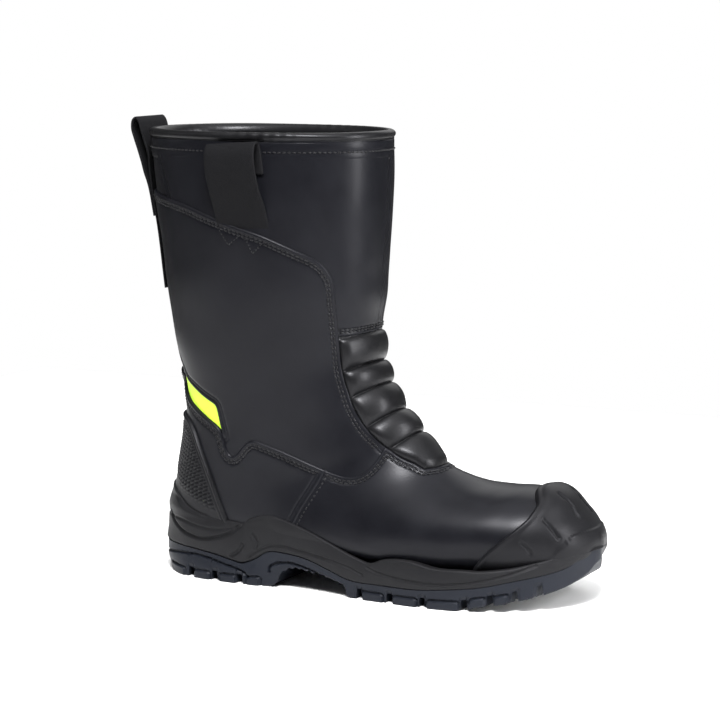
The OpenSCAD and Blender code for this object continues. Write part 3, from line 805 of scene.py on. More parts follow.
UNDER_TOE_CAP = [[15.4, -0.12], [15.6, 0.0], [15.6, 0.4], [14.2, 0.87], [12.0, 0.87], [10.0, 0.86]]
vamp = panel("vamp_leather",
             closed(side_curve([(106, 40), (122, 64), (129, 83.5)]), VAMP_EDGE, across(VAMP_EDGE[-1]),
                    UNDER_TOE_CAP),
             [VAMP_EDGE], 1.8, 3.4, LEATHER, rows=(3.2, 5.0), puff=0.15, join=True)
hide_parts("vamp")


TOE_LINES = [side_curve(p, depth=5.5) for p in (
    [(288.8, 70), (296.5, 65), (303.5, 58)],
    [(289, 59), (294, 54), (298.8, 47.6)],
    [(278.4, 45.6), (282, 42), (284.7, 38)])]
TOE_SKIN = 5.8  # the depth where the pressed lines and the bumper are measured
BUMPER_LINE = np.array([
    (292, 30), (298.5, 40.5), (302, 43.5), (304.5, 48.3), (309, 49.5), (320, 49)], float)


def toe_relief(u, v, s, base):
    """A rim, three pressed lines on each side, and a bumper that stands out round the front."""
    d = base + TOE_SKIN * form_normal(u, v)
    gap = nearest(d, np.vstack([both_ways(line, TOE_SKIN) for line in TOE_LINES]))
    below = line_at(BUMPER_LINE, d[:, 0]) - d[:, 2]
    bumper = slope_to(-below, -0.5, 0.6) * slope_to(-d[:, 0], -298, -292)
    crown = slope_to(-base[:, 2], -68, -55) * slope_to(-s, -8, -0.5)
    rim = 0.5 * slope_to(np.abs(s - 2.2), 0.6, 1.6)
    return rim - 1.4 * slope_to(gap, 0.4, 1.5) + 0.9 * bumper + 3.0 * crown


us, ws = fine_grid(1.0, 1.0, [TOE_EDGE, np.array([[LAST_ROW, 0], [LAST_ROW, 1]])])
UNDER_TOE = [[14.0, 0.93], [17.0, 0.93], [17.0, 1.12], [LAST_ROW + 1, 1.12], [LAST_ROW + 1, -0.12]]
cap = panel("toe_cover", closed(TOE_EDGE, UNDER_TOE, across(TOE_EDGE[0])), [TOE_EDGE], 3.2, 5.9,
            COVER, roll=1.8, relief=toe_relief, join=True, u=us, w=ws, unevenness=0.2)
close_tip(cap, 312.0)
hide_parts("toe_scuff_cap")


def heel_relief(u, v, s, base):
    """A raised rim with a fine line inside it, small blocks in slanted rows over the upper part,
    and a few stronger ridges on the back."""
    rim = 0.8 * slope_to(np.abs(s - 1.6), 0.7, 1.5) + 0.35 * slope_to(np.abs(s - 4.4), 0.3, 0.8)
    round_the_back = (1 - np.abs(v)) * 118
    height = base[:, 2]
    along = 0.82 * round_the_back + 0.57 * height
    over = -0.57 * round_the_back + 0.82 * height
    row = np.floor(over / 2.1)
    bars = slope_to(np.abs(over / 2.1 - row - 0.5), 0.16, 0.42)
    blocks = slope_to(np.abs((along / 3.2 + 0.5 * (row % 2)) % 1 - 0.5), 0.26, 0.46)
    smooth_below = slope_to(-(height - 78 + 0.62 * round_the_back), -4.0, 3.0)
    field = np.clip((s - 5.2) / 1.0, 0, 1) * smooth_below
    teeth = np.abs(np.sin((height - 74) * math.pi / 4.4)) ** 0.8
    on_back = slope_to(round_the_back, 9, 13) * slope_to(np.abs(height - 87), 11, 12.5)
    return rim + 1.0 * bars * blocks * field * (1 - on_back) + 1.5 * teeth * on_back


us, ws = fine_grid(0.5, 0.5, [HEEL_EDGE, np.array([[8.6, 1.0]])], margin=0.05)
HEEL_FOOT = side_curve([(50, 34), (30, 40), (8, 50), (-4, 54)])
heel = panel("heel_cover", closed(HEEL_EDGE, HEEL_FOOT, UNDER_HEEL, across(HEEL_EDGE[0])),
             [HEEL_EDGE], 3.2, 5.6, COVER, roll=1.4, relief=heel_relief, join=True, u=us, w=ws,
             unevenness=0.2)
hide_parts("heel_counter_cover")

# ---------------------------------------------------------------- the padded instep

RIB_VALLEYS = [4.26, 5.28, 6.19, 7.38, 8.62, 10.75]
RIB_HEIGHT = 5.2
WINDOW_SIDE = TOP_EDGE[TOP_EDGE[:, 0] > 4.2]
WINDOW = closed([[3.4, -0.12], [3.4, 0.215]], WINDOW_SIDE, VAMP_LIP, across(VAMP_LIP[-1]))


def tilt(u):
    """The valleys run down toward the sides, the lower ones more."""
    return 1 + 2.4 * np.clip(u - 5.0, 0, 4)


def rib_swell(u, v):
    """How far the padding stands above the leather: round between two valleys, and full right up
    to the edge of the pieces round it, with small creases that run out of each valley."""
    edge = lateral_points((WINDOW_SIDE, VAMP_LIP))
    gap = nearest(on_form(u, -np.abs(v), MIDDLE_OF_LEATHER), edge)
    within = inside(np.stack([u, np.abs(v)], 1), WINDOW)
    rim = np.where(within, 0.32 + 0.68 * edge_roll(gap, 6.0), 0.3 * np.exp(-gap / 0.8))
    straight = u - tilt(u) * v**2
    k = np.clip(np.searchsorted(RIB_VALLEYS, straight) - 1, 0, len(RIB_VALLEYS) - 2)
    low, high = np.take(RIB_VALLEYS, k), np.take(RIB_VALLEYS, k + 1)
    t = np.clip((straight - low) / (high - low), 0, 1)
    sag = t ** 0.88
    dome = np.clip(np.sin(np.pi * sag), 0, 1) ** 0.42
    near_valley = np.exp(-((np.minimum(t, 1 - t) / 0.2) ** 2))
    crease = 0.06 * np.sin(v * 92 + 2.4 * np.sin(k * 2.1 + v * 9)) * near_valley
    return (RIB_HEIGHT * dome + crease) * rim


def instep():
    """The padding between the side panels and the vamp, from above its first valley."""
    ribs = [np.linspace(a, b, 48, endpoint=False) for a, b in zip(RIB_VALLEYS, RIB_VALLEYS[1:])]
    us = np.concatenate([np.linspace(3.7, RIB_VALLEYS[0], 8, endpoint=False), *ribs,
                         np.linspace(RIB_VALLEYS[-1], 11.3, 8)])
    vs = np.linspace(-0.27, 0.27, 171)
    u, v = all_pairs(us, vs)
    u = u + tilt(u) * v**2 * slope_to(-u, -5.2, -4.4)
    base = form_point(u, v)
    swell = rib_swell(u, v)
    depth = 1.0 + swell + rough(base, 16, 0.6, 9.0) * np.clip(swell / 4, 0, 1)
    points = on_form(u, v, depth)
    faces = [f[::-1] for f in grid_faces(len(us), len(vs))]
    return new_object("instep_padding", points, faces, SOFT_LEATHER, leather_uv(u, v))


padding = instep()
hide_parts("front_flex_cover", "front_flex_foam")


# ---------------------------------------------------------------- collar and lining

def swept_ring(name, section, material, wobble=None):
    """A closed section, in (depth, height), carried round the top of the shaft."""
    count = 360
    section = np.asarray(section, float)
    vs = np.linspace(-1, 1, count, endpoint=False)
    rows = []
    for depth, height in section:
        u = (TOP - height) / DROP
        extra = wobble(vs, height) if wobble else 0
        p = on_form(np.full(count, max(u, 0.0)), vs, depth + extra)
        p[:, 2] = height + (0.3 * extra if wobble else 0)
        rows.append(p)
    points = np.stack(rows, 1).reshape(-1, 3)
    n = len(section)
    faces = ring_faces(count, n, closed=True)
    ring = np.repeat(vs * 0.19, n)
    around = np.tile(np.arange(n) * 0.002, count)
    return new_object(name, points, faces, material, np.stack([ring, around], 1))


def arc(cx, cy, radius, start, end, n):
    a = np.radians(np.linspace(start, end, n))
    return np.stack([cx + radius * np.cos(a), cy + radius * np.sin(a)], 1)


def piping_creases(v, height):
    """The roll is gathered a little where it turns."""
    at_sides = np.exp(-(((np.abs(v) - 0.42) / 0.09) ** 2))
    at_back = np.exp(-(((np.abs(v) - 0.86) / 0.08) ** 2))
    pulled = at_sides + 0.5 * at_back
    return 0.22 * np.sin(v * 210) * pulled * (height > 298.5) + 0.16 * np.sin(v * 17 + height)


BAND = [(0.6, 284.0), (1.5, 285.0), (1.86, 287.5), (1.9, 290.3), (1.65, 291.2), (1.9, 292.1),
        (1.95, 297.0), (1.7, 298.0), (0.6, 298.2)]
band = swept_ring("collar_band_leather", BAND, LEATHER)
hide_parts("collar_band")

ROLL = np.vstack([[[1.2, 298.0], [2.2, 298.4]], arc(-0.1, 301.0, 2.9, -50, 100, 14),
                  [[-2.0, 303.9], [-3.6, 303.2], [-5.0, 301.4], [-5.8, 298.6], [-5.6, 296.0],
                   [-4.4, 295.4], [-1.0, 297.0]]])
binding = swept_ring("collar_piping", ROLL, SOFT_LEATHER, wobble=piping_creases)
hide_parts("collar_binding")


def lining_wrinkles(u, v, base):
    """Soft creases where the lining leather is fuller than the shaft."""
    fold = np.sin(base[:, 2] / 4.3 + 2.2 * np.sin(v * 7.0) + 1.1 * np.sin(base[:, 2] / 11 + v * 13))
    rear = np.clip((np.abs(v) - 0.35) / 0.35, 0, 1)
    top = np.exp(-((u / 2.2) ** 2))
    return (0.25 + 0.8 * rear) * fold * (0.35 + 0.65 * top)


def lining(name, rows, columns, material, first, last):
    """A closed shell inside the upper: the face that touches the foot, and its back."""
    us = np.interp(np.linspace(0, 1, rows), [0, 1], [first, last])
    vs = np.linspace(-1, 1, columns, endpoint=False)
    u, v = all_pairs(us, vs)
    base = form_point(u, v)
    inner = on_form(u, v, -4.7 - np.abs(lining_wrinkles(u, v, base)))
    outer = on_form(u, v, -3.0)
    n = len(inner)
    faces = grid_faces(rows, columns, closed=True)
    faces += [tuple(i + n for i in f[::-1]) for f in faces]
    for j in range(columns):
        k = (j + 1) % columns
        faces.append((j, j + n, k + n, k))
        a, b = (rows - 1) * columns + j, (rows - 1) * columns + k
        faces.append((a, b, b + n, a + n))
    flat = np.stack([v * 0.19, u * 0.03], 1)
    return new_object(name, np.vstack([inner, outer]), faces, material, np.vstack([flat, flat]))


shaft_in = lining("shaft_lining_leather", 90, 200, LINING, 0.16, 5.0)
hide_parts("shaft_lining")
foot_in = lining("foot_lining_textile", 110, 160, BOOTIE, 4.95, 17.2)
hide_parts("foot_lining")

# ---------------------------------------------------------------- stitches

def rows_inside(edge, distances, outline, depth):
    """Lines at these distances inside an edge, on both sides of the boot."""
    curves = []
    for d in distances:
        line = inset(resample(edge, 0.6), d, outline, depth)
        curves += on_both_sides(line, depth)
    return curves


TOP_SIDE = closed(TOP_EDGE, side_curve([(160, 69), (94, 86)]), TUCK_EDGE)
stitching("side_panel_stitches", rows_inside(TOP_EDGE, (3.4, 5.2), TOP_SIDE, 2.75), THREAD_MAT)
LOW_SIDE = closed(QUARTER_EDGE, VAMP_SEAM, side_curve([(99, 38), (30, 40)]), [[8.0, 1.0]])
stitching("quarter_stitches", rows_inside(QUARTER_EDGE, (3.2, 5.0), LOW_SIDE, 3.85), THREAD_MAT)
VAMP_SIDE = closed(VAMP_EDGE, [[15.0, 0.0], [15.0, 0.8], [10, 0.8]], VAMP_SEAM[::-1])
stitching("vamp_stitches", rows_inside(VAMP_EDGE, (3.2, 5.0), VAMP_SIDE, 3.25)
          + rows_inside(VAMP_SEAM, (2.2,), VAMP_SIDE, 3.25), THREAD_MAT)
SHAFT_SIDE = closed([[0.0, 0.0]], REAR_SEAM, [[4.2, 0.3]], FLEX_TOP[::-1])
stitching("shaft_stitches", rows_inside(FLEX_TOP, (3.0, 4.7), SHAFT_SIDE, 1.65), THREAD_MAT)


def back_lines(u0, u1, offset, depth):
    """Two lines of stitching that run down the back, one each side of the seam."""
    us = np.linspace(u0, u1, 160)
    width = np.abs(form_axes(us, np.full(len(us), 1.0 + 1e-3))[1][:, 1])
    out = []
    for side in (-1, 1):
        v = 1.0 - side * offset / width
        out.append((on_form(us, v, depth), form_normal(us, v)))
    return out


stitching("back_stitches", back_lines(1.35, 3.7, 2.6, 2.85), THREAD_MAT)


def around_at(height, depth):
    """A line once round the shaft at a height."""
    vs = np.linspace(-1, 1, 500)
    us = np.full(500, (TOP - height) / DROP)
    p = on_form(us, vs, depth)
    p[:, 2] = height
    return [(p, form_normal(us, vs))]


stitching("collar_stitches", around_at(291.2, 1.85), THREAD_MAT)


def valley_lines():
    """The lines that hold the padding down between two ribs."""
    out = []
    for valley in RIB_VALLEYS[1:-1]:
        vs = np.linspace(-0.2, 0.2, 120)
        us = valley + tilt(valley) * vs**2
        out.append((on_form(us, vs, 1.25), form_normal(us, vs)))
    return out


stitching("instep_stitches", valley_lines(), THREAD_MAT, pitch=3.4, length=2.4)


# Small stitched triangles under each side loop.
TACKS = ([(71, 240.5), (78, 230), (88, 238)], [(90, 236.5), (95, 225), (102, 232.5)])


def straight(points):
    """A polyline on the form through side view points, corners kept."""
    fine = np.vstack([np.linspace(a, b, 14) for a, b in zip(points, points[1:])])
    return locate(fine)


stitching("loop_tacks", [c for t in TACKS for c in on_both_sides(straight(np.array(t, float)), 2.85)],
          THREAD_MAT, pitch=2.4, length=1.8, thread=0.45)

# ---------------------------------------------------------------- pull loops

def strap(name, path, place, width, thickness, material):
    """Flat webbing along a side view path. place puts [along the width, path point] in space."""
    line = catmull(path, 1.0)
    tangent = unit(np.gradient(line, axis=0))
    normal = np.stack([-tangent[:, 1], tangent[:, 0]], 1)
    run = run_along(line)
    half, t = width / 2, thickness / 2
    across = np.linspace(-half + t, half - t, 15)
    section = [(a, t * (1 + 0.12 * (abs(a) > half - 2.6))) for a in across]
    section += [(half - t + t * math.cos(q), t * math.sin(q)) for q in np.radians([60, 20, -20, -60])]
    section += [(a, -t) for a in across[::-1]]
    section += [(-half + t - t * math.cos(q), -t * math.sin(q)) for q in np.radians([60, 20, -20, -60])]
    n = len(section)
    points, uv = [], []
    for i in range(len(line)):
        for a, off in section:
            points.append(place(a, line[i] + off * normal[i]))
            uv.append((a / 1000, run[i] / 1000))
    faces = grid_faces(len(line), n, closed=True)
    faces += [tuple(range(n))[::-1], tuple(range((len(line) - 1) * n, len(line) * n))]
    return new_object(name, points, faces, material, uv)


LOOP_LEAN = math.radians(4)
LOOP_X = 88  # middle of the side loops at their foot
LOOP_FOOT = 243.0  # height of the line where the side loops leave their seam
WIDTH, THICKNESS = 37.0, 1.6  # of the webbing


def on_shaft_side(side):
    """[along x, (stand-off, height)] on the side of the shaft, leaning back. Where the webbing is
    sewn down it follows the round of the shaft, and further out it hangs flat."""
    def leather(x, z):
        u, w = locate([(x, min(z, 302.0))])[0]
        return abs(on_form(np.array([u]), np.array([side * w]), 1.8)[0, 1])

    def place(a, point):
        s, h = point
        x = LOOP_X + a * math.cos(LOOP_LEAN) - h * math.sin(LOOP_LEAN)
        z = LOOP_FOOT + a * math.sin(LOOP_LEAN) + h * math.cos(LOOP_LEAN)
        flat = leather(LOOP_X - h * math.sin(LOOP_LEAN), z)
        free = float(slope_to(-s, -7.0, -1.5))
        return (x, side * (leather(x, z) * (1 - free) + flat * free + s), z)
    return place


# (stand-off, height) from the sewn foot, up the outer leg, over the bight and down the inner leg.
SIDE_LOOP = [(-2.2, -16), (-1.9, -11), (-1.3, -6), (-0.4, -1), (0.7, 3), (1.8, 8), (3.6, 14.5),
             (6.2, 22), (8.8, 31), (10.4, 39), (10.4, 46), (8.6, 51.3), (6.0, 53.6), (3.8, 53.2),
             (2.6, 50), (1.8, 45), (1.2, 39), (0.9, 33)]
for side_of, label in ((-1, "lateral"), (1, "medial")):
    loop = strap(f"pull_loop_{label}", SIDE_LOOP, on_shaft_side(side_of), WIDTH, THICKNESS, WEBBING)
    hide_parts(f"side_loop_{label}", f"side_loop_anchor_{label}")
    near, far = (Vector((-0.058, side_of * y, 0.26)) for y in (0.0640, 0.0705))
    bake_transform(loop)
    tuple(near)
    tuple(far)


def on_back(a, point):
    """[along y, (x, z)] on the back of the shaft: low down the webbing bends a little with it."""
    x, z = point
    row = smooth_rows(FORM, np.clip((TOP - z) / DROP, 0, LAST_ROW))
    bend = 0.5 * (row[0] - row[2]) * (1 - (1 - (abs(a) / row[5]) ** 2.2) ** (1 / 2.2))
    sewn = float(slope_to(-x, 7.5, 12.0))
    return (x + 0.3 * bend * sewn, a, z)


def back_of(z, depth):
    """x of the back of the shaft at a height, this far outside the form."""
    return smooth_rows(FORM, (TOP - z) / BACK_DROP)[2] - depth


REAR_LOOP = [(back_of(z, 4.4), z) for z in (194, 208, 222, 236, 250, 264, 276, 286)] + [
    (-11.4, 295.5), (-13.6, 302), (-15.2, 307), (-17.6, 309.6), (-20.2, 307.4), (-20.6, 302),
    (-18.6, 295.5), (-15.9, 288), (-13.2, 280), (-11.2, 273), (-9.0, 266), (back_of(258, 6.1), 258),
    (back_of(250, 6.0), 250), (back_of(243, 6.0), 243)]
rear_loop = strap("pull_loop_rear", REAR_LOOP, on_back, WIDTH, THICKNESS, WEBBING)
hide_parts("rear_loop", "rear_strap")
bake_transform(rear_loop)


# ---------------------------------------------------------------- the sole

MIDSOLE_TOP = np.array([
    [-20, 62], [8, 60], [21, 55], [30, 49], [41, 45], [53, 43], [77, 41], [83, 44], [91, 47],
    [99, 48], [106, 47], [118, 44], [134, 39], [154, 31], [167, 26.5], [177, 24.5], [189, 28.5],
    [206, 29], [224, 26], [242, 26], [254, 26], [271, 28], [284, 31], [300, 35], [330, 39]])
OUTSOLE_TOP = np.array([
    [-20, 20], [26, 20], [53, 18], [72, 14.5], [79, 14], [89, 18], [97, 23], [107, 24], [127, 22],
    [144, 17], [162, 11.5], [182, 11], [208, 11], [230, 13], [254, 16], [276, 21], [296, 25.5],
    [304, 29], [309, 34], [313, 37], [330, 39]])
GROUND_LINE = np.array([
    [-20, 0.6], [4, 0.4], [14, 0], [95, 0], [107, 9], [116, 14], [128, 13.5], [144, 10.5],
    [158, 6], [166, 0], [238, 0], [252, 3], [270, 6], [290, 11], [303, 16], [311, 22], [316, 30],
    [330, 44]])
SOLE_PLAN = np.array([  # x, half width on the lateral side, half width on the medial side
    [0, 6, 6], [6, 22, 22], [20, 34, 34], [45, 42, 40], [80, 45, 42], [110, 46, 42], [150, 50, 46],
    [190, 54, 52], [225, 56, 58], [258, 51, 57], [285, 39, 48], [304, 20, 31], [314, 2, 10]], float)
MIDSOLE_CURVE, OUTSOLE_CURVE, GROUND_CURVE = map(catmull, (MIDSOLE_TOP, OUTSOLE_TOP, GROUND_LINE))

# Grooves between the lugs: middle x, width at the wall, and how far they slant toward the toe.
GROOVES = [(35.5, 4.6, 0.03), (56.5, 4.6, 0.0), (78, 4.8, -0.04), (168, 4.2, 0.02),
           (190.5, 4.2, 0.02), (216, 4.2, 0.0), (246.5, 4.4, -0.04), (265, 3.8, -0.08),
           (281, 3.6, -0.12), (295, 3.2, -0.16)]
HALF_SOLE = 40  # from the middle of the sole to its wall, where the grooves come out
SLOPED = 0.45  # half the width over which a groove's edge slopes down
LUG_HEIGHT = 7.2


def polyline_gap(x, z, line):
    """Distance in side view from points to a polyline."""
    line = catmull(line, 0.8)
    a, b = line[:-1], line[1:]
    d = b - a
    p = np.stack([np.asarray(x, float), np.asarray(z, float)], -1)[..., None, :]
    t = np.clip(((p - a) * d).sum(-1) / (d**2).sum(-1), 0, 1)
    return np.sqrt((((p - (a + t[..., None] * d)) ** 2).sum(-1)).min(-1))


def tread(x, y, half):
    """Height of the tread above the ground plane: lugs, cross grooves, a channel along the
    middle, a raised and serrated arch, and small ribs on the lugs."""
    ground = line_at(GROUND_CURVE, x)
    groove = np.zeros_like(x)
    for middle, width, slant in GROOVES:
        off = np.abs(x - middle - slant * np.abs(y))
        groove = np.maximum(groove, slope_to(off, width / 2 - SLOPED, width / 2 + SLOPED))
    for low, high, shift in ((20, 84, 0.0), (172, 262, 2.0)):
        half_run = (high - low) / 2
        within = slope_to(np.abs(x - (low + high) / 2), half_run - 0.5, half_run + 0.5)
        groove = np.maximum(groove, within * slope_to(np.abs(y - shift), 1.6, 2.6))
    on_lug = 1 - groove
    inner = (np.abs(y) < half - 7) & (np.abs(y) > 6)
    ribs = slope_to(np.abs((x / 6.0) % 1 - 0.5), 0.16, 0.3) * inner * 0.9
    arch = slope_to(np.abs(x - 130), 24, 32)
    teeth = 1.6 * np.abs(((x / 5.2) % 1) * 2 - 1) * arch
    fade = slope_to(x, 290, 308)
    lugs = (LUG_HEIGHT * groove + ribs * on_lug) * (1 - arch) * (0.35 + 0.65 * fade)
    return np.maximum(ground + lugs + teeth, 0.0)


def sole_outline():
    """Columns along the sole: x, lateral and medial half widths, closer together at the ends."""
    fine = smooth_rows(SOLE_PLAN, np.linspace(0, len(SOLE_PLAN) - 1, 1500))
    run = run_along(fine[:, :2])
    at = np.arange(0, run[-1], 1.0)
    edges = []
    for middle, width, slant in GROOVES:
        for side in (-1, 1):
            for nudge in (-SLOPED, SLOPED):
                x = middle + HALF_SOLE * slant + side * (width / 2 + nudge)
                edges.append(np.interp(x, fine[:, 0], run))
    at = np.unique(np.round(np.concatenate([at, edges, [run[-1]]]), 3))
    return np.stack([np.interp(at, run, fine[:, k]) for k in range(3)], 1)


COLUMNS = sole_outline()
END = 15  # points across the flat of the heel and of the toe


def wall_ring():
    """The sole's outline once round from the heel: x, y, outward normal and distance along it."""
    x, lateral, medial = COLUMNS.T
    share = np.linspace(0, 1, END + 2)[1:-1]
    round_toe = x[-1] + 1.4 * np.sin(np.pi * share)
    round_heel = x[0] - 1.6 * np.sin(np.pi * share)
    ring = np.vstack([
        np.stack([x, -lateral], 1),
        np.stack([round_toe, -lateral[-1] + share * (lateral[-1] + medial[-1])], 1),
        np.stack([x, medial], 1)[::-1],
        np.stack([round_heel, medial[0] - share * (lateral[0] + medial[0])], 1),
    ])
    t = unit(np.roll(ring, -2, 0) - np.roll(ring, 2, 0))
    normal = np.stack([t[:, 1], -t[:, 0]], 1)
    return ring, normal, run_along(ring)


RING, RING_NORMAL, RING_RUN = wall_ring()
HEEL_LEAN = np.array([  # height, how far in
    [0, 5.5], [4, 5], [12, 2.5], [22, 1.5], [30, 3.6], [39, 4.6], [48, 6.2], [57, 8], [66, 8]])


def set_back(x, z):
    """How far the back of the heel leans in at a height."""
    return slope_to(x, 6, 34) * line_at(HEEL_LEAN, z)


def leather_surface():
    """Points and normals of the outermost layer of the upper, low down."""
    u, v = all_pairs(np.linspace(6.5, LAST_ROW - 0.05, 260), np.linspace(-1, 1, 420))
    x = form_point(u, v)[:, 0]
    outer = 4.1 + 1.7 * slope_to(x, 48, 60) + 1.8 * slope_to(-x, -262, -250)
    p, n = on_form(u, v, outer), form_normal(u, v)
    low = (p[:, 2] < 80) & (np.linalg.norm(n[:, :2], axis=1) > 0.35)
    return p[low], n[low]


def clear_of_leather(points, clearance):
    """Moves points of the sole outward, level, until they stand clear of the upper."""
    skin, normals = leather_surface()
    at = np.array([index for _, index, _ in find_nearest(points, skin)])
    n = normals[at]
    level = np.linalg.norm(n[:, :2], axis=1, keepdims=True)
    short = np.clip(clearance - ((points - skin[at]) * n).sum(1, keepdims=True), 0, None)
    out = points.copy()
    out[:, :2] += short * n[:, :2] / level**2
    return out


def wall(low, high, levels, bulge, lip=(), clearance=None):
    """The side of the sole between two heights at each place of the outline. bulge gives how far
    it stands out; lip continues it inward and over, as [inward, up] steps."""
    share = np.linspace(0, 1, levels)[None]
    z = low[:, None] + (high - low)[:, None] * share
    out = bulge(np.repeat(RING[:, :1], levels, 1), z, share + 0 * z)
    out -= set_back(RING[:, :1], z)
    rows = np.concatenate([RING[:, None, :] + out[..., None] * RING_NORMAL[:, None, :], z[..., None]], -1)
    if clearance is not None:
        for _ in range(2):
            rows = clear_of_leather(rows.reshape(-1, 3), clearance).reshape(rows.shape)
    wider = 1 + 1.0 * slope_to(np.abs(RING[:, :1] - 235), 35, 60)  # the vamp curves in under itself here
    for inward, up in lip:
        level = -inward * (wider if inward > 3 else 1) * RING_NORMAL
        step = np.concatenate([level, np.full((len(RING), 1), up)], 1)
        rows = np.concatenate([rows, (rows[:, levels - 1] + step)[:, None]], 1)
    n, m = rows.shape[:2]
    uv = np.stack([np.repeat(RING_RUN, m), rows[..., 2].ravel()], 1) / 1000
    return rows.reshape(-1, 3), ring_faces(n, m), uv, m


def carved(out, x, z, lines):
    """Sinks lines into a wall. Each has its points, its depth, and the distances from its middle
    where its flat ends and where it ends."""
    for line, deep, flat, reach in lines:
        out -= deep * slope_to(polyline_gap(x, z, line), flat, reach)
    return out


HEEL_SWEEP = [(12, 41), (16, 38), (22, 34.5), (33, 30), (46, 28), (60, 30.5), (70, 34.5), (77, 40)]
LIP_LINE = [(-8, 42), (2, 40), (14, 39), (28, 39), (44, 36), (60, 35.5), (76, 39)]
FORE_LINE = [(176, 22), (183, 20), (195, 18), (210, 16.8), (230, 16.8), (248, 19), (265, 23),
             (276, 26.5), (287, 31)]
ARCH_LINE = [(84, 19.5), (90, 24), (99, 28), (110, 29), (121, 27.5), (140, 25), (160, 21), (172, 17)]
LOW_EYE = [(79, 27.5), (78, 25), (75, 21.5), (70, 18.5)]
HIGH_EYE = [(87, 34.5), (90, 30), (89, 25.5)]
MIDSOLE_LINES = [(HEEL_SWEEP, 1.5, 0.5, 1.7), (LIP_LINE, 0.8, 0.3, 1.3), (FORE_LINE, 0.9, 0.4, 1.4),
                 (ARCH_LINE, 0.8, 0.4, 1.4), (LOW_EYE, 1.3, 0.6, 1.6), (HIGH_EYE, 1.3, 0.6, 1.6)]


def midsole_bulge(x, z, share):
    """How far the foam stands out: fuller round the heel, with the lines of its wall."""
    heel = slope_to(x, 60, 110)
    out = 0.8 + 1.9 * np.sin(np.pi * np.clip(share, 0, 1)) ** 0.8 * (0.45 + 0.55 * heel)
    out += 1.4 * heel * slope_to(-(z - 46), -1, 6) * slope_to(share, 0.9, 1.0)
    return carved(out, x, z, MIDSOLE_LINES) - 1.1 * slope_to(share, 0.0, 0.05)


HEEL_LINE = [(-8, 12.2), (6, 12.5), (12, 13.5), (23, 15), (39, 16), (50, 15), (64, 12), (78, 9), (83, 5)]
UNDER_ARCH = [(99, 10), (99, 13.5), (103, 16), (109, 17.6), (117, 17.8), (129, 15.6), (146, 10.5),
              (156, 8)]
OUTSOLE_LINES = [(HEEL_LINE, 2.0, 0.4, 1.1), (UNDER_ARCH, 1.9, 0.4, 1.1)]

# Raised pads on the side of the lugs: from x to x.
PADS = [(9, 31.5), (39.5, 52.5), (60.5, 73.5), (82, 92), (171, 187), (194, 212), (219.5, 241),
        (247.5, 258), (263, 272)]
PAD_MIDDLE, PAD_HALF, PAD_CORNER = 2.0, 4.0, 2.0  # height above the ground line, half height, radius


def pad_gap(x, z):
    """Distance outside the nearest pad's rounded outline, negative inside it."""
    best = np.full(np.shape(x), 99.0)
    above = z - line_at(GROUND_CURVE, x)
    for start, stop in PADS:
        dx = np.abs(x - (start + stop) / 2) - (stop - start) / 2 + PAD_CORNER
        dz = np.abs(above - PAD_MIDDLE) - PAD_HALF + PAD_CORNER
        outer = np.hypot(np.maximum(dx, 0), np.maximum(dz, 0))
        best = np.minimum(best, outer + np.minimum(np.maximum(dx, dz), 0) - PAD_CORNER)
    return best


def outsole_bulge(x, z, share):
    """How far the rubber stands out: its pads and lines, the mouths of the grooves, and the
    rounded lower edge."""
    heel = slope_to(x, 84, 100)
    out = 0.7 + 1.6 * heel * slope_to(z, 6, 20)
    pad = pad_gap(x, z)
    out += 0.7 * slope_to(pad, -1.0, 0.0) - 1.3 * slope_to(np.abs(pad - 0.4), 0.35, 1.0)
    out = carved(out, x, z, OUTSOLE_LINES)
    ground = line_at(GROUND_CURVE, x)
    for middle, width, slant in GROOVES:
        off = np.abs(x - middle - HALF_SOLE * slant)
        top = LUG_HEIGHT + ground
        out -= 0.9 * slope_to(off, width / 2 + 0.2, width / 2 + 1.2) * slope_to(z - top, 0.5, 2.5)
    return out - 0.8 * slope_to(z - ground, 0.0, 1.1) * slope_to(-share, -0.02, 0.05)


bounds_z = line_at(OUTSOLE_CURVE, RING[:, 0])
floor_z = tread(RING[:, 0], RING[:, 1], np.abs(RING[:, 1]))
top_z = np.maximum(line_at(MIDSOLE_CURVE, RING[:, 0]), bounds_z + 0.4)
MIDSOLE_LIP = [(0.5, 0.45), (1.3, 0.65), (2.3, 0.5), (3.4, 0.0), (6.0, -1.0), (9.0, -2.0)]
points, faces, uv, _ = wall(bounds_z, top_z, 44, midsole_bulge, lip=MIDSOLE_LIP, clearance=1.1)
midsole = new_object("midsole_foam_body", points, faces, MIDSOLE, uv)
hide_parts("midsole")


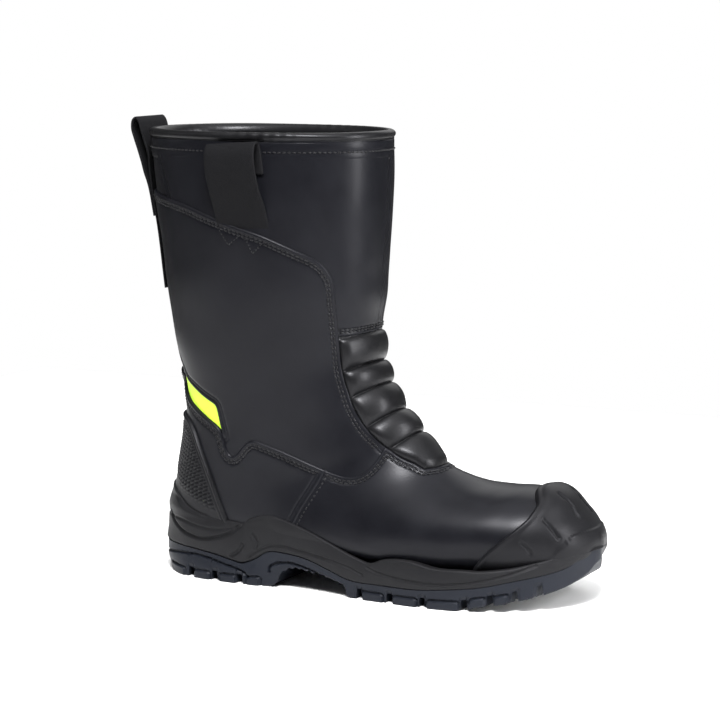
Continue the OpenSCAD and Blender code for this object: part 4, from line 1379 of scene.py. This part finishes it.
def outsole():
    """The rubber: its wall, and the tread below, which shares the wall's lowest points."""
    points, faces, uv, m = wall(floor_z, bounds_z, 34, outsole_bulge, lip=[(1.5, 0.0), (4.0, -0.3)])
    n = len(COLUMNS)
    lateral = np.arange(n)
    medial = 2 * n + END - 1 - lateral
    q = np.linspace(0, 1, 113)[1:-1]
    left, right = points[lateral * m], points[medial * m]
    inner = left[:, None] + (right - left)[:, None] * q[None, :, None]
    x, y = inner[..., 0], inner[..., 1]
    half = np.where(y < 0, COLUMNS[:, 1:2], COLUMNS[:, 2:3])
    inner[..., 2] = tread(x, y, half)
    start = len(points)
    index = start + np.arange(inner[..., 0].size).reshape(x.shape)
    index = np.column_stack([lateral * m, index, medial * m])
    for i in range(n - 1):
        for j in range(index.shape[1] - 1):
            faces.append((index[i, j], index[i, j + 1], index[i + 1, j + 1], index[i + 1, j]))
    toe = (n + np.arange(END)) * m
    heel = (2 * n + END + np.arange(END)) * m
    faces.append(tuple(index[-1]) + tuple(toe[::-1]))
    faces.append(tuple(index[0][::-1]) + tuple(heel[::-1]))
    points = np.vstack([points, inner.reshape(-1, 3)])
    uv = np.vstack([uv, inner[..., :2].reshape(-1, 2) / 1000])
    ob = new_object("outsole_rubber_body", points, faces, RUBBER, uv)
    ob.data.set_sharp_from_angle(angle=math.radians(40))
    return ob


outsole_body = outsole()
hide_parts("outsole")


# ---------------------------------------------------------------- footbed

FOOTBED_TOP = np.array([
    [-20, 41], [20, 41], [62, 39], [110, 37], [158, 33], [204, 30], [242, 30], [272, 32], [330, 40]])


def footbed():
    """A moulded footbed: dished at the heel, with a raised edge along the arch."""
    xs = 152.5 - 133.0 * np.cos(np.linspace(0, np.pi, 150))
    q = np.linspace(-1, 1, 61)
    levels = []
    for up, inset_by in ((0.0, 5.9), (-4.6, 6.3)):
        z = line_at(catmull(FOOTBED_TOP), xs) + up
        uw = locate(np.stack([xs, z], 1))
        left, right = (on_form(uw[:, 0], s * uw[:, 1], -inset_by) for s in (-1, 1))
        middle, span = (left + right) / 2, (right - left) / 2
        grid = middle[:, None] + span[:, None] * q[None, :, None]
        grid[..., 0] = xs[:, None]
        levels.append(grid)
    top, low = levels
    dish = slope_to(xs, 60, 110)[:, None] * (1 - q[None] ** 2) * 1.8
    arch = np.exp(-(((xs - 110) / 40) ** 2))[:, None] * np.clip(q[None] - 0.35, 0, 1) * 2.2
    top[..., 2] += arch - dish
    n, m = len(xs), len(q)
    points = np.vstack([top.reshape(-1, 3), low.reshape(-1, 3)])
    quads = grid_faces(n, m)
    faces = [f[::-1] for f in quads] + [tuple(i + n * m for i in f) for f in quads]
    rim = [(i * m, (i + 1) * m) for i in range(n - 1)]
    rim += [((n - 1) * m + j, (n - 1) * m + j + 1) for j in range(m - 1)]
    rim += [((i + 1) * m + m - 1, i * m + m - 1) for i in range(n - 1)]
    rim += [(j + 1, j) for j in range(m - 1)]
    faces += [(a, b, b + n * m, a + n * m) for a, b in rim]
    return new_object("footbed_pad", points, faces, FELT, points[:, :2] / 1000)


pad = footbed()
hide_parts("footbed")
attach(pad, "insole")

# ---------------------------------------------------------------- what rides where

SLOTS = {
    "shaft_front_leather": "upper_leather", "shaft_rear_leather": "upper_leather",
    "side_panel_leather": "upper_leather", "achilles_flex_leather": "flex_leather",
    "hi_viz_insert": "hi_viz", "quarter_leather": "upper_leather", "vamp_leather": "upper_leather",
    "toe_cover": "cover_rubber", "heel_cover": "cover_rubber", "instep_padding": "flex_leather",
    "collar_band_leather": "upper_leather", "collar_piping": "flex_leather",
    "shaft_lining_leather": "lining_leather", "foot_lining_textile": "lining_textile",
    "midsole_foam_body": "midsole_pu", "outsole_rubber_body": "outsole_rubber",
    "footbed_pad": "footbed_felt",
}
for ob in list(bpy.context.scene.objects):
    if ob.type != "MESH" or ob.parent is not None:
        continue
    sewn = ob.name.endswith(("stitches", "tacks"))
    if ob.name in SLOTS or sewn:
        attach(ob, "boot")

# The CAD pieces that stay as they are, hidden inside.
INNER = {"protective_toecap": SHELL, "heel_stiffener": BOARD, "insole_board": BOARD,
         "puncture_plate": STEEL, "shank": STEEL, "collar_foam": FOAM}
for name, material in INNER.items():
    for place in bpy.data.objects[name].material_slots:
        place.material = material

# ---------------------------------------------------------------- floor, light, camera


def floor():
    """A square of white paper under the boot."""
    h = 0.75  # half its side
    mesh = bpy.data.meshes.new("floor")
    mesh.from_pydata([(-h, -h, 0), (h, -h, 0), (h, h, 0), (-h, h, 0)], [], [(0, 1, 2, 3)])
    m, shader, add, link = tree_of("floor_paint")
    tone = add("ShaderNodeTexNoise", Scale=3.0, Detail=2.0)
    ramp = two_tone(add, (0.94,) * 3, (0.97,) * 3)
    link(tone.outputs["Fac"], ramp.inputs["Fac"])
    link(ramp.outputs["Color"], shader.inputs["Base Color"])
    adjust(shader, Roughness=0.9, Specular_IOR_Level=0.1)
    mesh.materials.append(m)
    ob = bpy.data.objects.new("floor", mesh)
    bpy.context.scene.collection.objects.link(ob)


floor()


def area(name, place, look, size, power):
    """A rectangular light, in metres and watts, that faces a point."""
    light = bpy.data.lights.new(name, "AREA")
    light.shape, light.size, light.size_y, light.energy = "RECTANGLE", size[0], size[1], power
    ob = bpy.data.objects.new(name, light)
    ob.location = place
    ob.rotation_euler = (Vector(look) - Vector(place)).to_track_quat("-Z", "Y").to_euler()
    bpy.context.scene.collection.objects.link(ob)


area("key", place=(0.45, -0.95, 1.6), look=(0.05, 0.0, 0.1), size=(0.5, 0.5), power=62)
area("left_side", place=(-1.6, -0.5, 0.9), look=(0.0, 0.0, 0.15), size=(0.5, 1.5), power=2)
area("right_side", place=(1.7, 0.05, 0.7), look=(0.05, 0.0, 0.12), size=(0.35, 1.3), power=36)
area("behind", place=(-0.2, 1.7, 1.2), look=(0.0, 0.0, 0.15), size=(1.6, 1.2), power=8)
sky = bpy.data.lights.new("ceiling", "SUN")
sky.energy, sky.angle = 1.8, math.radians(75)
ceiling = bpy.data.objects.new("ceiling", sky)
ceiling.rotation_euler = (math.radians(8), math.radians(6), 0)
bpy.context.scene.collection.objects.link(ceiling)

world = bpy.data.worlds.new("studio")
bpy.context.scene.world = world
world.use_nodes = True
nodes, links = world.node_tree.nodes, world.node_tree.links
path = nodes.new("ShaderNodeLightPath")
mix = nodes.new("ShaderNodeMixShader")
dim = nodes["Background"]  # what lights the boot
adjust(dim, Color=(1, 1, 1, 1), Strength=0.08)
seen = nodes.new("ShaderNodeBackground")  # what the camera sees behind it
adjust(seen, Color=(1, 1, 1, 1), Strength=1.0)
links.new(path.outputs["Is Camera Ray"], mix.inputs["Fac"])
links.new(dim.outputs["Background"], mix.inputs[1])
links.new(seen.outputs["Background"], mix.inputs[2])
links.new(mix.outputs["Shader"], nodes["World Output"].inputs["Surface"])

bpy.context.scene.view_settings.view_transform = "Standard"

AZIMUTH, DISTANCE, CAMERA_HEIGHT = math.radians(26), 1.7, 0.39
LOOK = Vector(((150 - X_CENTRE) / 1000, 0.0, 0.15))
lens = bpy.data.cameras.new("camera")
lens.sensor_width, lens.lens = 36, 128.35
lens.shift_x, lens.shift_y = -8 / 720, 1 / 720
camera = bpy.data.objects.new("camera", lens)
camera.location = LOOK + Vector((DISTANCE * math.sin(AZIMUTH), -DISTANCE * math.cos(AZIMUTH),
                                 CAMERA_HEIGHT - LOOK.z))
camera.rotation_euler = (LOOK - camera.location).to_track_quat("-Z", "Y").to_euler()
bpy.context.scene.collection.objects.link(camera)
bpy.context.scene.camera = camera
